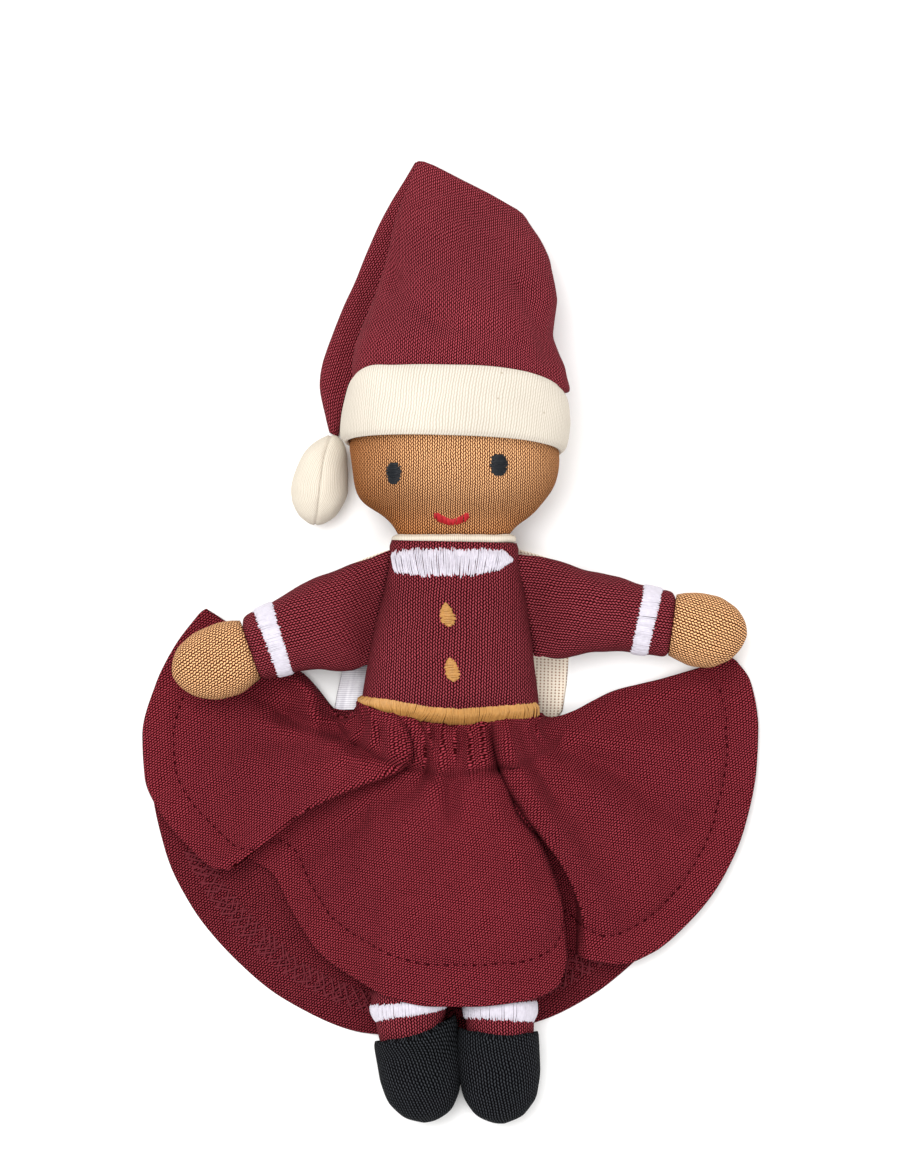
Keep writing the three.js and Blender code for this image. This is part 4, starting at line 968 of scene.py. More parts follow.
# %% Bobble
SEAM_SPREAD = 0.5 * MM
SEAM_SINK = 0.35 * MM
BOBBLE_ROWS = [
    (435, 330, 336), (437, 325, 340), (441, 318, 344), (447, 311, 347), (455, 304.5, 349), (465, 299.5, 350),
    (478, 295.5, 350.5), (490, 293.5, 350), (500, 294, 347.5), (508, 296.5, 343.5), (515, 300.5, 338),
    (520.5, 306, 331), (524, 311, 325), (525.5, 315.5, 319),
]
BOBBLE_HIGH = 12.8 * MM


def bobble_grid_of(rows, columns):
    """Oval sections, as wide as the bobble is in the photograph, with a groove where the two panels meet."""
    at = np.linspace(0, len(BOBBLE_ROWS) - 1, rows)
    y, left, right = (through([row[i] for row in BOBBLE_ROWS], at) for i in range(3))
    turn = turn_of(np.arange(columns), columns)[None, :]
    half = (right - left)[:, None] / 2 * PIXEL
    middle = ((left + right) / 2 - 2.4 - ORIGIN_PIXEL[0])[:, None] * PIXEL
    deep = BOBBLE_HIGH / 2 * (half / half.max()) ** 0.9
    flat_y = ((ORIGIN_PIXEL[1] - y) * PIXEL)[:, None] + 0 * turn
    grid = np.stack([middle + half * np.cos(turn), flat_y, BOBBLE_HIGH / 2 + deep * np.sin(turn)], axis=2)
    last = columns - 1
    sunk = np.zeros(grid.shape[:2])
    for seam in (0, last // 2, last):
        away = np.linalg.norm(grid - grid[:, seam : seam + 1], axis=2)
        sunk = np.maximum(sunk, bell(away, SEAM_SPREAD))
    grid = lumpy(grid, 0.3 * MM, 5 * MM, 7.7)
    grid = grid - normals_of(grid) * (SEAM_SINK * sunk)[:, :, None]
    grid[:, :, 2] = np.maximum(grid[:, :, 2], 0)
    return grid


def make_bobble(grid):
    half = (grid.shape[1] - 1) // 2
    halves = [grid[:, : half + 1], grid[:, half:]]
    halves.sort(key=lambda part: part[:, :, 0].mean())
    for side, part in zip(("left", "right"), halves):
        piece = cloth_from("bobble_cloth_" + side, part, cloth_map(part, panels=False), close=False)
        wall = piece.modifiers.new("wall", "SOLIDIFY")
        wall.thickness = 0.8 * MM
        outward = sum((p.normal.dot(p.center - Vector(grid.mean(axis=(0, 1)))) for p in piece.data.polygons))
        wall.offset = -1 if outward > 0 else 1
        bpy.ops.object.modifier_apply(modifier=wall.name)
        nodes = ["bobble_panel_" + side] + (["bobble_stuffing"] if side == "left" else [])
        settle(piece, "bobble", cream_knit, nodes)


bobble_grid = bobble_grid_of(90, 121)
make_bobble(bobble_grid)
print("bobble made")

# %% [markdown]
# Satin stitch is thread laid side by side. Each trim is a row of short round threads that follow the cloth
# under them, with ragged ends, because the needle never lands in quite the same line. The threads are
# curves with a round bevel, converted to meshes.

# %% Laying threads
needle = random.Random(20)
THREAD_RADIUS = 0.14 * MM


def lay_threads(name, lines, radius=THREAD_RADIUS):
    deselect()
    curve = bpy.data.curves.new(name, "CURVE")
    curve.dimensions = "3D"
    curve.bevel_depth = radius
    curve.bevel_resolution = 1
    curve.use_fill_caps = True
    for line in lines:
        spline = curve.splines.new("POLY")
        spline.points.add(len(line) - 1)
        flat = np.concatenate([np.array(line), np.ones((len(line), 1))], axis=1)
        spline.points.foreach_set("co", flat.reshape(-1))
    piece = bpy.data.objects.new(name, curve)
    bpy.context.collection.objects.link(piece)
    bpy.context.view_layer.objects.active = piece
    piece.select_set(True)
    bpy.ops.object.convert(target="MESH")
    piece = bpy.context.object
    bpy.ops.object.shade_smooth()
    return piece


def stitch(place, start, end, lift, points=6, dive=0.3 * MM):
    """One thread from start to end on the surface given by place(u, v, height).

    Its two ends go into the cloth.
    """
    line = []
    for i in range(points):
        step = i / (points - 1)
        high = lift - (lift + dive) * abs(2 * step - 1) ** 6
        line.append(place(start[0] + (end[0] - start[0]) * step, start[1] + (end[1] - start[1]) * step, high))
    return line


def satin_rows(place, rail_a, rail_b, count, ragged, lift, sway=0.0):
    """Threads from rail_a(t) to rail_b(t) for count places t from 0 to 1, each a little uneven."""
    lines = []
    for i in range(count):
        t = (i + needle.uniform(-0.25, 0.25)) / max(count - 1, 1)
        start, end = rail_a(t), rail_b(t)
        long_a, long_b = needle.uniform(-ragged, ragged), needle.uniform(-ragged, ragged)
        way = (end[0] - start[0], end[1] - start[1])
        lean = needle.uniform(-sway, sway)
        start = (start[0] - way[0] * long_a, start[1] - way[1] * long_a)
        end = (end[0] + way[0] * long_b + lean, end[1] + way[1] * long_b)
        lines.append(stitch(place, start, end, lift * needle.uniform(0.85, 1.15)))
    return lines


def layered(place, rail_a, rail_b, *layers):
    """Layers of threads on one another. Each layer is its count, raggedness, height and sway."""
    rows = []
    for layer in layers:
        rows += satin_rows(place, rail_a, rail_b, *layer)
    return rows


# %% White bands on the wrists and ankles
BAND_LIFT = 0.22 * MM
# Where a band starts and ends along its limb and how it leans, left and right, with its threads' number.
LIMB_BANDS = [
    ("wrist", "arm_", arms, (0.7, 0.84, 0.03), (0.72, 0.85, 0.035), 270),
    ("ankle", "leg_", legs, (0.862, 0.921, 0.022), (0.866, 0.943, -0.006), 280),
]


def sew_band(name, form, low, high, lean, count, body, stands_for):
    """Threads side by side round a limb. lean is how much further along it they lie on its first side."""

    def rail(share):
        return lambda t: (t, share + lean * math.cos(2 * math.pi * t))

    layers = (count, 0.05, BAND_LIFT, 0.002), (count // 2, 0.1, BAND_LIFT * 1.3, 0.003)
    band = lay_threads(name, layered(form.at, rail(low), rail(high), *layers))
    return settle(band, body, white_thread, [stands_for])


for end, limb, pieces, left, right, count in LIMB_BANDS:
    for side, shares in (("left", left), ("right", right)):
        sew_band(
            end + "_threads_" + side, pieces[side][0], *shares, count, limb + side, end + "_band_" + side
        )
print("bands sewn")

# %% [markdown]
# The collar and the belt are satin stitch as well. The collar's threads hang from the neckline and end in an
# uneven lower edge. The belt is padded underneath, so its threads stand up in a round welt.

# %% Collar and belt
def laid_on(tree, depth):
    """Gives place(x, y, high) on the front of a piece over a point in plan, in millimetres."""

    def place(x, y, high):
        hit, normal = tree.ray_cast(Vector((x * MM, y * MM, REACH)), -UP)[:2]
        if hit is None:
            hit, normal = tree.find_nearest(Vector((x * MM, y * MM, depth)))[:2]
        return hit + normal * high

    return place


def along(points):
    """A smooth rail through points in plan, read by a share from 0 to 1."""
    points = np.array(points, float)
    shares = np.linspace(0, 1, len(points))

    def rail(t):
        return (float(np.interp(t, shares, points[:, 0])), float(np.interp(t, shares, points[:, 1])))

    return rail


on_torso = laid_on(tree_of(torso.data), NECK.z)
COLLAR_TOP = [(-14.3, 22.0), (-8, 22.7), (0, 22.8), (8, 22.7), (13.4, 22.3), (15.6, 20.4)]
COLLAR_LOW = [(-13.6, 16.7), (-7, 15.8), (0, 15.6), (7, 16.2), (12.4, 17.4), (15.0, 19.2)]
rows = layered(
    on_torso, along(COLLAR_TOP), along(COLLAR_LOW), (170, 0.06, 0.35 * MM, 0.3), (90, 0.12, 0.55 * MM, 0.5)
)
collar = settle(lay_threads("collar_threads", rows), "torso", white_thread, ["collar"])

BELT_TOP = [(-22.0, -14.0), (-15.4, -14.7), (-5, -16.6), (2.6, -17.1), (12, -16.4), (21.4, -15.6)]
BELT_LOW = [(-22.0, -18.6), (-14, -18.8), (-8, -19.9), (2.6, -21.2), (10, -20.9), (21.4, -20.6)]
rows = layered(
    on_torso, along(BELT_TOP), along(BELT_LOW), (190, 0.03, 0.95 * MM, 0.25), (70, 0.05, 1.05 * MM, 0.5)
)
belt = settle(lay_threads("belt_threads", rows, 0.17 * MM), "torso", gold_thread, ["belt"])
print("collar", len(collar.data.vertices), "points, belt", len(belt.data.vertices), "points")

# %% [markdown]
# Buttons, eyes and mouth are small filled shapes. Threads run across each shape from edge to edge.

# %% Buttons and face
on_head = laid_on(tree_of(head.data), HEAD_MIDDLE.z)


def filled(place, centre, outline, count, lift, ragged=0.08, sway=0.1):
    """Threads across a shape. outline(t) gives its left and right edge and its height for t from 0 to 1."""

    def rail(side):
        def at(t):
            edges = outline(min(max(t, 0), 1))
            return (centre[0] + edges[side], centre[1] + edges[2])

        return at

    return satin_rows(place, rail(0), rail(1), count, ragged, lift, sway)


def drop_outline(width, height, lean):
    def outline(t):
        y = height * (0.5 - t)
        half = width / 2 * math.sqrt(max(1 - (2 * t - 1) ** 2, 0.03)) * (0.68 + 0.42 * t)
        return (-half + lean * (t - 0.5), half + lean * (t - 0.5), y)

    return outline


def block_outline(width, height):
    def outline(t):
        half = width / 2 * max(1 - abs(2 * t - 1) ** 4, 0.3) ** 0.5
        return (-half, half, height * (0.5 - t))

    return outline


def middle_of(name):
    low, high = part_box(name)
    return ((low[0] + high[0]) / 2 / MM, (low[1] + high[1]) / 2 / MM)


for name in ("button_top", "button_bottom"):
    rows = filled(on_torso, middle_of(name), drop_outline(4.1, 5.6, 0.9), 22, 0.5 * MM)
    rows += filled(on_torso, middle_of(name), drop_outline(3.5, 4.8, 0.9), 13, 0.75 * MM, 0.12, 0.35)
    settle(lay_threads(name + "_threads", rows, 0.17 * MM), "torso", gold_thread, [name])
for name, wide in (("eye_left", 3.9), ("eye_right", 4.6)):
    rows = filled(on_head, middle_of(name), block_outline(wide, 4.9), 24, 0.35 * MM)
    rows += filled(on_head, middle_of(name), block_outline(wide - 0.4, 4.3), 14, 0.5 * MM, 0.1, 0.3)
    settle(lay_threads(name + "_threads", rows, 0.16 * MM), "head", black_thread, [name])


def smile_rows():
    """Short upright stitches along a curve that dips in its middle."""
    x, y = middle_of("mouth")
    rows = []
    for i in range(36):
        t = i / 35
        dx = (t - 0.5) * 8.3
        dip = 1.7 * abs(2 * t - 1) ** 1.6 - 1.5
        half = (0.8 + 0.4 * abs(2 * t - 1)) * min(1, 6 * t + 0.5, 6 * (1 - t) + 0.5)
        start = (x + dx + needle.uniform(-0.2, 0.2), y + dip + half)
        rows.append(stitch(on_head, start, (x + dx + needle.uniform(-0.2, 0.2), y + dip - half), 0.4 * MM))
    return rows


settle(lay_threads("mouth_threads", smile_rows(), 0.15 * MM), "head", red_thread, ["mouth"])
print("face and buttons sewn")

# %% [markdown]
# The cape is a flat piece of mesh knit behind the torso. A satin ribbon is sewn along one of its sides. Both
# are sheets, so each starts as a grid that is laid on what carries it and then gets the thickness of cloth.

# %% Cape and ribbon
# A share of the cape's length, and its left and right edge there. The drops are those of its top corners.
CAPE_ROWS = [
    (0, -25, 25), (0.08, -27.6, 28), (0.16, -29, 30.4), (0.3, -28, 30.6), (0.55, -26.4, 30.2),
    (0.8, -26, 29.4), (0.96, -25.6, 28.4), (1, -24.5, 27),
]
CAPE_DROPS = (5.6, 4.0)
CAPE_LENGTH = 45
CAPE_WALL = 0.8 * MM


def sheet_section(grid, up, down, pinch=2):
    """A sheet about a grid of its middle surface, up and down thick on its two faces, with rolled edges."""
    normals = normals_of(grid, closed=False)
    normals = np.stack([blurred(normals[:, :, axis], 6) for axis in range(3)], axis=2)
    normals /= np.maximum(np.linalg.norm(normals, axis=2, keepdims=True), 1e-9)
    columns = np.arange(grid.shape[1])
    from_side = np.minimum(columns, columns[::-1])
    taper = np.sqrt(np.clip(from_side / pinch, 0, 1))[None, :, None]
    outer = grid + normals * up * taper
    inner = grid - normals * down * taper
    return rolled_section(outer, inner, grid)


def cape_grid_of(rows, columns):
    cape_tree = solid_tree("cape")
    shares, lefts, rights = zip(*CAPE_ROWS)
    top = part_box("cape")[1][1] / MM
    grid = np.zeros((rows, columns, 3))
    for row in range(rows):
        share = row / (rows - 1)
        left, right = float(np.interp(share, shares, lefts)), float(np.interp(share, shares, rights))
        for column in range(columns):
            across = 2 * column / (columns - 1) - 1
            x = left + (right - left) * (across + 1) / 2
            drop = CAPE_DROPS[0 if across < 0 else 1] * across * across * (1 - share)
            # The rolled edges take up 0.7 mm at the top and 0.4 mm at the bottom.
            y = top - 0.7 - share * (CAPE_LENGTH - 1.1) - drop
            hit = cape_tree.ray_cast(Vector((x * MM, y * MM, REACH)), -UP)[0]
            height = hit.z if hit else 1.0 * MM
            grid[row, column] = (x * MM, y * MM, height - 0.55 * MM)
    return grid


def sheet_map(grid):
    """The map of an open sheet, which keeps its spacing on the inside face too."""
    flat = cloth_map(grid, panels=False)
    rims = [np.repeat(flat[-1:], 4, axis=0), flat[::-1], np.repeat(flat[:1], 4, axis=0), flat[:1]]
    return np.concatenate([flat, *rims])


cape_grid = cape_grid_of(70, 91)
cape_piece = cloth_from(
    "cape_cloth", sheet_section(cape_grid, CAPE_WALL / 2, CAPE_WALL / 2), sheet_map(cape_grid), close=False
)
settle(cape_piece, "torso", mesh_knit, ["cape"])

RIBBON_ROWS = [(0.34, -21.6), (0.6, -22.6), (0.74, -23.2), (0.86, -24.4), (0.97, -25.2)]
RIBBON_HALF = 3.9
RIBBON_FIRST, RIBBON_LAST = 0.345, 0.965


def ribbon_grid_of(rows, columns):
    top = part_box("cape")[1][1] / MM
    grid = np.zeros((rows, columns, 3))
    for row in range(rows):
        share = RIBBON_FIRST + (RIBBON_LAST - RIBBON_FIRST) * row / (rows - 1)
        middle = float(np.interp(share, [r[0] for r in RIBBON_ROWS], [r[1] for r in RIBBON_ROWS]))
        for column in range(columns):
            across = 2 * column / (columns - 1) - 1
            bulge = 2.2 * (1 - across * across) + 0.15 * math.sin(row * 0.9 + across * 2)
            place = (middle + across * RIBBON_HALF, top - share * CAPE_LENGTH, 1.55 + bulge * 0.75)
            grid[row, column] = np.array(place) * MM
    return grid


ribbon_grid = ribbon_grid_of(50, 31)
ribbon = cloth_from(
    "ribbon_weave", sheet_section(ribbon_grid, 0.2 * MM, 0.2 * MM), sheet_map(ribbon_grid), close=False
)
settle(ribbon, "torso", satin_weave, ["satin_ribbon"])
print("cape", len(cape_piece.data.vertices), "points, ribbon", len(ribbon.data.vertices), "points")

# %% [markdown]
# The skirt is a full circle of fine jersey, gathered into the waist. Its front falls into a folded wing on
# each side and a middle lobe over the legs. A list of columns says where each part of the hem lies, and a
# smooth curve through them fills in the rest. Ridges and hollows are then pressed into the cloth along
# lines, as a modeller would with a thumb, and last the cloth is lifted clear of what lies under it.

# %% Lines of the skirt
# A column of the front: its angle at the waist, the layers of cloth under it there, the x, y and z of its
# hem, and how far it bulges up. A column of the back: its angle and the x and y of its hem. All in mm.
FRONT_COLUMNS = [
    (177, 0, -61.1, 7.9, 1.9, 0), (171, 0.2, -68.4, -1.6, 2.2, 0.2), (165, 0.5, -73.4, -11.6, 2.8, 0.8),
    (158, 1, -76.6, -23.6, 3.6, 1.6), (150, 1.5, -76, -34.4, 4.4, 2.4), (142, 2.2, -71.8, -43.6, 5.2, 3.2),
    (134, 2.8, -65.2, -51.4, 6.2, 3.8), (127, 3.2, -58.6, -57, 7.2, 4.2), (123, 3.2, -54.6, -57.4, 7, 4),
    (121, 2.6, -53, -54.8, 5.4, 2.8), (120.5, 1.8, -57, -51.6, 4, 1.6), (120, 1, -59.6, -50.2, 3, 0.8),
    (119, 0.3, -56, -51.6, 2.3, 0.4), (118, 0, -50.4, -54.4, 2.2, 0.4), (116, 0, -44.4, -58.1, 2.6, 1),
    (112, 0, -39.1, -68.1, 4, 1.8), (107, 0, -32.4, -77.9, 8, 2.6), (102, 0, -22.4, -84.8, 13.5, 3),
    (97, 0, -14.6, -88.8, 18, 2.6), (91, 0, -4, -90.8, 20, 2), (85, 0, 6, -90.8, 20, 2),
    (79, 0, 15.4, -89.9, 19.5, 2), (74, 0, 22.4, -88.4, 18.5, 2.4), (70, 0, 27.6, -85, 16, 3),
    (67, 0.6, 29, -79, 13, 3.6), (66, 0.6, 27.6, -74, 8, 3.2), (65.5, 0.3, 23.5, -70.5, 4, 1.5),
    (65, 0, 24.5, -73, 2.2, 0.2), (64, 0, 29, -76.4, 2, 0), (63.4, 0, 31.8, -78.2, 2.6, 0.2),
    (62.5, 0, 33, -78.9, 7, 3), (60, 0, 35.6, -79.7, 9, 5.6), (54, 0, 43, -80.8, 8, 6),
    (47, 0, 50.6, -78, 6.8, 5.2), (39, 0, 59.6, -70.6, 6, 4.6), (31, 0, 67.7, -60.3, 5.6, 3.8),
    (23, 0, 73.5, -47.2, 4.6, 2.8), (15, 0, 76.6, -32, 3.6, 1.8), (9, 0, 77, -22, 2.8, 0.9),
    (5, 0, 75.2, -11, 2.2, 0.3), (3, 0, 70.8, -4.5, 1.9, 0),
]
BACK_COLUMNS = [
    (183, -61.1, 7.2), (190, -68.6, -3.9), (200, -73.9, -17.6), (210, -74.4, -35.1), (220, -71.1, -52.8),
    (232, -64.4, -67), (244, -52.3, -81.3), (256, -40.4, -90.6), (264, -20.6, -98.6), (270, 0.1, -99.8),
    (278, 21, -96), (288, 35.4, -89.2), (300, 48.4, -78.8), (312, 61, -67.6), (325, 70.4, -50.1),
    (338, 74.4, -30.1), (350, 74.4, -16.4), (357, 71.2, -5.2),
]
RUFFLE_LINE = [
    (3, 29.5, -19.6), (12, 28.6, -22.8), (25, 26, -26.6), (40, 21.5, -29.8), (55, 16.4, -31.6),
    (67, 11, -32), (80, 5, -33.8), (90, 0.8, -34.8), (100, -3.6, -34.2), (112, -8, -32.6),
    (122, -12, -31.4), (133, -19, -28.8), (145, -25, -25.2), (160, -27.6, -21.5), (177, -29, -18.8),
]
SKIRT_WALL = 0.9 * MM
FRONT_SHARE, LEFT_SHARE, SIDE_SHARE = 0.895, 0.81, 0.85


def waist_place(degrees, stack):
    """A place at the waist of the torso. The angle is 0 at its right side and 90 in front.

    The seam climbs towards both sides, and highest under the left end of the belt.
    """
    turn = math.radians(degrees)
    side_share = LEFT_SHARE if math.cos(turn) < 0 < math.sin(turn) else SIDE_SHARE
    share = side_share + (FRONT_SHARE - side_share) * abs(math.sin(turn)) ** 7
    return torso_form.at(((180 - degrees) % 360) / 360, share, (0.6 + stack) * MM)


print("skirt columns", len(FRONT_COLUMNS), "in front,", len(BACK_COLUMNS), "behind")


# %% Laying the skirt out
def pressed(grid, lines):
    """Raises or sinks a grid along lines in plan.

    A line is its height and width in mm, the shares of the columns between which it acts, and its points.
    """
    out = grid.copy()
    shares = np.linspace(0, 1, grid.shape[1])[None]
    for height, width, first, last, points in lines:
        inside = np.clip((shares - first) / 0.02, 0, 1) * np.clip((last - shares) / 0.02, 0, 1)
        away = distance_to(grid[:, :, :2] / MM, points)
        out[:, :, 2] += height * MM * bell(away, width) * inside
    return out


def height_under(tree, grid, spread):
    """The highest point of a tree near each place of a grid, seen from above."""
    tops = np.zeros(grid.shape[:2])
    for row in range(grid.shape[0]):
        for column in range(grid.shape[1]):
            x, y = grid[row, column, :2]
            for dx, dy in ((0, 0), (spread, 0), (-spread, 0), (0, spread), (0, -spread)):
                hit = tree.ray_cast(Vector((x + dx, y + dy, REACH)), -UP)[0]
                if hit:
                    tops[row, column] = max(tops[row, column], hit.z)
    return tops


# %% Front of the skirt
FOLD_LINES = [
    (4.2, 3.0, 0.0, 0.14, px((290, 668), (309, 690), (313, 708), (316, 720))),
    (-2.6, 3.0, 0.0, 0.16, px((262, 700), (286, 712))),
    (-2.4, 1.9, 0.0, 0.34, px((280, 716), (298, 722), (320, 727), (335, 733), (350, 745), (367, 753))),
    (2.0, 2.6, 0.02, 0.3, px((262, 722), (300, 731), (320, 738), (342, 750), (362, 766))),
    (1.8, 5.0, 0.05, 0.22, px((400, 750), (330, 765), (250, 770))),
    (2.2, 3.2, 0.05, 0.24, px((402, 774), (300, 830), (225, 864))),
    (-1.7, 2.2, 0.34, 0.6, px((428, 772), (404, 792), (372, 814), (300, 864))),
    (1.3, 5.0, 0.34, 0.6, px((400, 830), (360, 880), (320, 920))),
    (-2.0, 1.2, 0.3, 0.65, px((436, 730), (431, 772))),
    (-1.8, 1.1, 0.3, 0.65, px((406, 730), (410, 760))),
    (-1.8, 1.2, 0.3, 0.65, px((462, 730), (458, 770))),
    (-2.0, 2.0, 0.4, 0.62, px((450, 782), (452, 814))),
    (-2.0, 1.4, 0.5, 0.8, px((490, 730), (497, 768))),
    (1.8, 3.2, 0.5, 0.64, px((474, 770), (492, 810), (522, 870), (540, 930))),
    (1.5, 3.2, 0.74, 0.92, px((512, 742), (536, 800), (572, 850), (600, 900), (606, 940))),
    (-1.4, 1.8, 0.66, 0.95, px((521, 728), (532, 764), (556, 800))),
    (-2.4, 3.2, 0.76, 1.0, px((560, 746), (605, 765), (663, 807), (690, 823))),
    (1.8, 4.2, 0.8, 1.0, px((575, 738), (640, 742), (716, 762))),
    (1.8, 3.4, 0.85, 1.0, px((600, 716), (650, 698), (700, 688))),
    (2.2, 4.5, 0.74, 0.95, px((600, 800), (640, 850), (650, 900))),
    (-1.6, 1.6, 0.05, 0.4, px((365, 722), (357, 748), (352, 766))),
    (-1.2, 1.2, 0.05, 0.45, px((384, 724), (382, 756))),
]
RUFFLE_END = 0.15
PUFF_SPACING, FOLD_SPACING = 4.9, 6.4
CREVICE_ANGLE = 65.5
FRONT_WIDE, FRONT_LONG = 461, 120
front_at = np.linspace(0, len(FRONT_COLUMNS) - 1, FRONT_WIDE)
front_angle = through([column[0] for column in FRONT_COLUMNS], front_at)
HEM_INSET = (7.4 + 2.6 * bell(front_angle, 20, 90)) * MM


def drawn_places(angle):
    """Where the gathers end, for columns that leave the waist at each angle."""
    angles, xs, ys = zip(*RUFFLE_LINE)
    return np.stack([np.interp(angle, angles, xs), np.interp(angle, angles, ys)], axis=1) * MM


def front_grid_of():
    angle, stack, x, y, z, lift = (through([c[i] for c in FRONT_COLUMNS], front_at) for i in range(6))
    waist = np.array([waist_place(a, 0.4 * s) for a, s in zip(angle, stack)])
    hem = np.stack([x, y, z], axis=1) * MM
    # v runs from the waist to the hem. At the sides the cloth comes down to the floor sooner.
    v = np.linspace(0, 1, FRONT_LONG)[:, None] ** 1.15
    fall = (1 - v) ** (1.35 + 5 * np.cos(np.radians(angle)) ** 4)[None, :]
    grid = waist[None] + (hem - waist)[None] * v[:, :, None]
    straight = waist + (hem - waist) * RUFFLE_END
    bowed = (v / RUFFLE_END) * np.exp(1 - v / RUFFLE_END)
    grid[:, :, :2] += bowed[:, :, None] * (drawn_places(angle) - straight[:, :2])[None]
    rise = lift * MM * np.sin(np.pi * np.minimum(v * 1.1, 1))
    grid[:, :, 2] = hem[None, :, 2] + (waist[:, 2] - hem[:, 2])[None] * fall + rise
    shares = np.linspace(0, 1, FRONT_WIDE)[None]
    # Both side seams bow towards the arms below the waist.
    grid[:, :, 1] += 3 * MM * bell(shares, 0.07) * bell(v, 0.13, 0.32)
    grid[:, :, 1] += 2 * MM * bell(1 - shares, 0.05) * bell(v, 0.2, 0.36)
    # The crevice right of the legs bows outwards, and its two walls lean together.
    lower_part = np.sin(np.pi * np.clip((v - 0.38) / 0.62, 0, 1))
    beside_legs = bell(angle, 6, CREVICE_ANGLE)[None] * lower_part
    grid[:, :, 0] += MM * beside_legs * (4.9 - 1.7 * np.tanh((angle - 64.7) / 1.2))[None]
    # Gathers: short puffs in the ruffle at the waist, and longer folds that fan out below it.
    arc = np.concatenate([[0], np.cumsum(np.linalg.norm(np.diff(waist, axis=0), axis=1))]) / MM
    wander = np.array([noise.noise(Vector((a / 6, 3.3, 0))) for a in arc])
    puffs = np.cos(np.pi * (arc / PUFF_SPACING + 1.2 * wander)) ** 2
    folds = np.cos(np.pi * (arc / FOLD_SPACING + 0.8 * wander + 0.3)) ** 2
    in_ruffle = np.minimum(v / 0.03, 1) * bell(v, RUFFLE_END, power=4)
    fanned = bell(v, 0.4) * (1 - in_ruffle)
    calm = 1 - 0.85 * bell(shares, 0.05, 0.24)
    grid[:, :, 2] += MM * (1.15 * (puffs - 0.5)[None] * in_ruffle + 1.1 * (folds - 0.6)[None] * fanned * calm)
    # A thread draws the cloth in where the ruffle ends.
    front = np.clip(np.sin(np.radians(angle)) * np.where(angle > 90, 1.9, 1.05), 0, 1)[None]
    ruffle = np.sin(np.pi * np.clip(v / RUFFLE_END, 0, 1)) ** 0.7
    drawn_in = bell(v, 0.02, RUFFLE_END * (1 + 0.12 * wander)[None])
    grid[:, :, 2] += MM * front * (2.8 * ruffle - 1.7 * drawn_in * (0.7 + 0.8 * wander)[None])
    return grid


def hem_distance(grid):
    """How far each place of a sheet is from its hem along the cloth."""
    steps = np.linalg.norm(np.diff(grid[::-1], axis=0), axis=2)
    back = np.concatenate([np.zeros((1, grid.shape[1])), np.cumsum(steps, axis=0)])
    return back[::-1]


def hemmed(grid, inset):
    """The doubled hem stands up a little, and its row of stitches pulls a groove in the cloth."""
    out = grid.copy()
    from_stitches = (hem_distance(grid) - inset[None]) / MM
    doubled_cloth = 0.3 * np.clip(-(from_stitches + 0.6) / 1.2, 0, 1)
    out[:, :, 2] += MM * (doubled_cloth - 0.5 * bell(from_stitches, 0.9))
    return out


BACK_TOP = 1.65 * MM


def lie_clear(grid, under, over, spread, gap):
    """Lifts the cloth clear of what is under it, softly, and keeps it below what lies on it.

    It stays above the skirt's back everywhere.
    """
    floor_height = np.maximum(height_under(under, grid, spread) + gap, BACK_TOP)
    floor_height[0] = 0
    lifted = np.maximum(grid[:, :, 2], floor_height)
    soft = grid.copy()
    soft[:, :, 2] = np.maximum(blurred(lifted, 1), floor_height)
    for row in range(grid.shape[0]):
        for column in range(grid.shape[1]):
            x, y = soft[row, column, :2]
            hit = over.ray_cast(Vector((x, y, 0)), UP)[0]
            if hit:
                soft[row, column, 2] = min(soft[row, column, 2], max(hit.z - gap, BACK_TOP))
    soft[0] = grid[0]
    return soft


def unrolled(flat, grid):
    """Evens out a plan map, so that a step on a slope is as long in it as on the cloth (least squares)."""
    # Each step keeps its direction and gets its true length.
    steps = []
    for axis in (0, 1):
        step = np.diff(flat, axis=axis)
        true = np.linalg.norm(np.diff(grid, axis=axis), axis=2, keepdims=True) / MM
        size = np.linalg.norm(step, axis=2, keepdims=True)
        steps.append(step * true / np.maximum(size, 0.12 * true + 1e-6))
    down, across = steps
    none_down, none_across = np.zeros((1, grid.shape[1], 2)), np.zeros((grid.shape[0], 1, 2))
    # The map whose steps come closest to these is found as a sum of waves, with the grid mirrored at its edges.
    spread = np.diff(np.concatenate([none_down, down, none_down]), axis=0)
    spread += np.diff(np.concatenate([none_across, across, none_across], axis=1), axis=1)
    mirrored = np.concatenate([spread, spread[::-1]])
    mirrored = np.concatenate([mirrored, mirrored[:, ::-1]], axis=1)
    waves = np.fft.fft2(mirrored, axes=(0, 1))
    down_waves, across_waves = (2 * np.cos(2 * np.pi * np.fft.fftfreq(n)) - 2 for n in mirrored.shape[:2])
    weight = down_waves[:, None] + across_waves[None]
    weight[0, 0] = 1
    waves /= weight[:, :, None]
    waves[0, 0] = 0
    return np.real(np.fft.ifft2(waves, axes=(0, 1)))[: grid.shape[0], : grid.shape[1]]


def plan_map(grid):
    """The map of the skirt: it is cut so that its knit runs one way across the doll, swayed by the folds."""
    x, y = (grid[:, :, i] / MM for i in range(2))
    across = x * math.sin(KNIT_RUN) - y * math.cos(KNIT_RUN)
    down = x * math.cos(KNIT_RUN) + y * math.sin(KNIT_RUN)
    across = across + 1.1 * np.sin(down / 17 + 0.6) + 0.7 * np.sin(x / 19)
    flat = unrolled(np.stack([across, down], axis=2), grid)
    # The rolled hem goes on the way that the last rows of the cloth run.
    way = flat[-1] - flat[-4]
    way /= np.maximum(np.linalg.norm(way, axis=1, keepdims=True), 1e-9)
    hem_rows = [flat[-1] + way * SKIRT_WALL / 2 / MM * math.pi * i / 5 for i in range(1, 5)]
    return np.concatenate([flat, hem_rows, flat[::-1], np.repeat(flat[:1], 5, axis=0)])


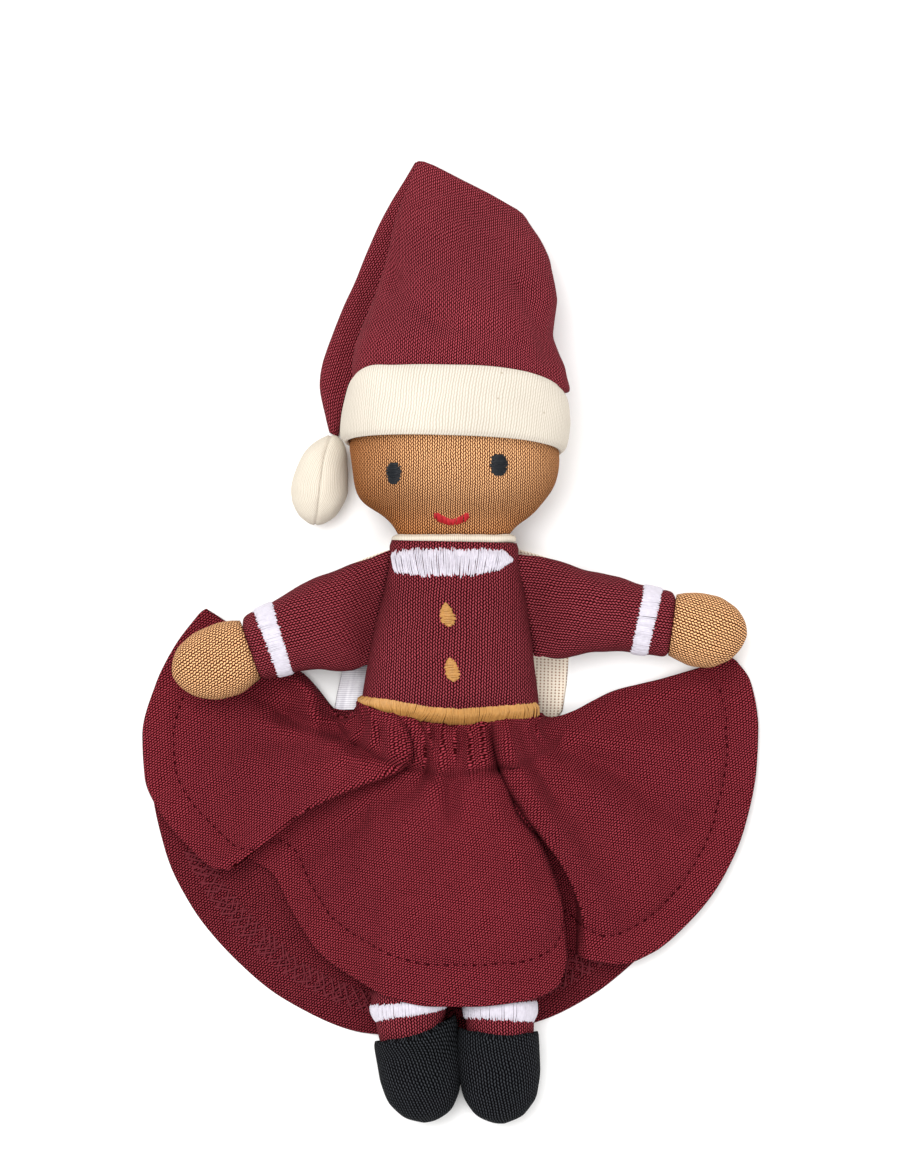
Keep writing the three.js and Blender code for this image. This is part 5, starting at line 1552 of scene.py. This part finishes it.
KNIT_RUN = math.radians(42)
under_front = tree_of(torso.data, *(legs[side][1].data for side in legs))
over_front = tree_of(*(piece.data for side in arms for piece in arms[side][1:]))
front_grid = pressed(front_grid_of(), FOLD_LINES)
front_grid = lumpy(front_grid, 0.8 * MM, 13 * MM, 5.5, closed=False)
front_grid = lumpy(hemmed(front_grid, HEM_INSET), 0.2 * MM, 4 * MM, 2.5, closed=False)
front_grid = lie_clear(front_grid, under_front, over_front, 0.7 * MM, 0.95 * MM)
doubled = np.clip((HEM_INSET[None] - hem_distance(front_grid)) / MM + 0.5, 0, 1)[:, :, None] * 0.35 * MM
front_section = sheet_section(front_grid, SKIRT_WALL / 2, SKIRT_WALL / 2 + doubled)
skirt_front = cloth_from("skirt_front_cloth", front_section, plan_map(front_grid), close=False)
settle(skirt_front, None, skirt_knit, ["skirt_front"])


def bend_with_legs(piece):
    """Bakes the piece's placement into its points."""
    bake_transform(piece)


bend_with_legs(skirt_front)
print("front of the skirt", len(skirt_front.data.vertices), "points")


# %% Back of the skirt
def back_grid_of(rows, columns):
    at = np.linspace(0, len(BACK_COLUMNS) - 1, columns)
    angle, x, y = (through([c[i] for c in BACK_COLUMNS], at) for i in range(3))
    waist = np.array([waist_place(a, 0) for a in angle])
    hem = np.stack([x, y, np.zeros(columns)], axis=1) * MM
    v = np.linspace(0, 1, rows)[:, None]
    fall = (1 - v) ** (2.6 + 8 * np.cos(np.radians(angle)) ** 4)[None, :]
    grid = waist[None] + (hem - waist)[None] * v[:, :, None]
    shares = np.linspace(0, 1, columns)[None]
    # The sides bow as the front's do, so that the two halves meet there.
    left, right = bell(shares, 0.08), bell(1 - shares, 0.08)
    bowed = (v / RUFFLE_END) * np.exp(1 - v / RUFFLE_END)
    grid[:, :, 1] += MM * (2.4 * left * bell(v, 0.13, 0.32) - bowed * (4.8 * left + 4.6 * right))
    flat = SKIRT_WALL / 2 + 0.05 * MM
    grid[:, :, 2] = flat + np.maximum(waist[:, 2] - flat, 0)[None] * fall
    return grid


back_grid = back_grid_of(80, 241)
back_section = sheet_section(back_grid, SKIRT_WALL / 2, SKIRT_WALL / 2)
skirt_back = cloth_from("skirt_back_cloth", back_section, plan_map(back_grid), close=False)
settle(skirt_back, "torso", inside_knit_shaded, ["skirt_back"])
print("back of the skirt", len(skirt_back.data.vertices), "points")

# %% [markdown]
# The hem is turned up 10 mm and held by a coverstitch. On the outside this is a line of short straight
# stitches that sink into the jersey. On the inside, which shows at the bottom left, a looper thread runs in
# zigzags between two lines and covers the raw edge.

# %% Hem stitches
def hem_line(grid, inset, pitch):
    """Places at even steps along a sheet, a given distance in from its hem, with the normals there."""
    normals = normals_of(grid, closed=False)
    rows = grid.shape[0] - 1 - (hem_distance(grid) < inset).sum(axis=0)
    rows = np.clip(rows, 0, grid.shape[0] - 1)
    columns = np.arange(grid.shape[1])
    points, ups = grid[rows, columns], normals[rows, columns]
    run = np.concatenate([[0], np.cumsum(np.linalg.norm(np.diff(points, axis=0), axis=1))])
    places = np.arange(0, run[-1], pitch)
    return [
        np.stack([np.interp(places, run, field[:, i]) for i in range(3)], axis=1) for field in (points, ups)
    ]


def straight_stitches(grid, face, inset, length=2.4 * MM):
    """The outside of a coverstitch: short stitches whose ends sink into the cloth."""
    points, ups = hem_line(grid, inset[None], length / 4)
    lines = []
    for i in range(8, len(points) - 12, 4):
        heights = (-0.35, 0.08, 0.1, -0.35)
        lines.append([points[i + j] + ups[i + j] * (face + h * MM) for j, h in enumerate(heights)])
    return lines


def cover_stitches(grid, face, pitch=1.05 * MM):
    """The inside of a coverstitch: loops lean one way and then the other across the band of thread."""
    edges = [hem_line(grid, inset * MM, pitch) for inset in (4.2, 7.0, 9.8)]
    count = min(len(points) for points, ups in edges) - 12
    lines = []
    for i in range(8, count):
        places = [int(i / count * (len(points) - 4)) for points, ups in edges]
        lean = (0, 2, 0) if i % 2 else (2, 0, 2)
        a, b, c = (edges[k][0][places[k] + lean[k]] for k in range(3))
        up = edges[1][1][places[1]]
        slip = (edges[0][0][i + 1] - edges[0][0][i]) * needle.uniform(-0.6, 0.6)
        high = 0.1 + 0.22 * (i % 2)
        ways = ((a, -0.6), (a * 0.8 + b * 0.2, 1), (b, 1.4), (b * 0.2 + c * 0.8, 1), (c, -0.6))
        lines.append([place + slip + up * (face + high * rise * MM) for place, rise in ways])
    return lines


outer_rows = straight_stitches(front_grid, SKIRT_WALL / 2, HEM_INSET)
front_stitches = settle(
    lay_threads("hem_stitches_front", outer_rows, 0.17 * MM), None, seam_thread_shaded
)
bend_with_legs(front_stitches)
inner_rows = cover_stitches(back_grid, SKIRT_WALL / 2 + 0.12 * MM)
settle(
    lay_threads("hem_stitches_back", inner_rows, 0.26 * MM), "torso",
    thread("polyester_thread_burgundy_inside", "#65242c", 0.8, gloss=0.08),
)
print("hem stitches", len(outer_rows), "in front,", len(inner_rows), "behind")

# %% [markdown]
# The doll lies on a plain pale floor. A large soft light stands beyond the hat and to the left, where the
# photograph's shading comes from, and a weaker one fills the shadows from the other side.

# %% Floor
def paper():
    """Matt card: it only needs to be pale and even, with a trace of unevenness."""
    material, tree, shader = new_material("matt_card_pale", 0.95)
    place = add_node(tree, "TexCoord").outputs["Object"]
    cloudy = add_node(tree, "TexNoise", {"Vector": place, "Scale": 6.0})
    colour = add_node(tree, "Mix", {0: cloudy, 6: linear("#fcfbfa"), 7: linear("#fefefd")}, data_type="RGBA")
    show(tree, shader, colour.outputs[2])
    return material


deselect()
bpy.ops.mesh.primitive_plane_add(size=6, location=(0, 0, 0))
floor = bpy.context.object
floor.name = "floor"
floor.data.materials.append(paper())
print("floor", floor.dimensions[0], "m wide")


# %% Light
def add_light(name, place, size, energy):
    bpy.ops.object.light_add(type="AREA", location=place)
    light = bpy.context.object
    light.name = name
    light.data.shape = "DISK"
    light.data.size = size
    light.data.energy = energy
    light.rotation_euler = Vector(place).to_track_quat("Z", "Y").to_euler()
    return light


add_light("key_light", (-0.45, 0.4, 1.75), 1.2, 29)
add_light("fill_light", (0.8, -0.6, 1.7), 1.5, 12)
world = bpy.data.worlds.new("studio")
world.use_nodes = True
world.node_tree.nodes["Background"].inputs["Color"].default_value = (1, 1, 1, 1)
world.node_tree.nodes["Background"].inputs["Strength"].default_value = 0.8
bpy.context.scene.world = world
bpy.context.scene.view_settings.view_transform = "Standard"
print("lights set")
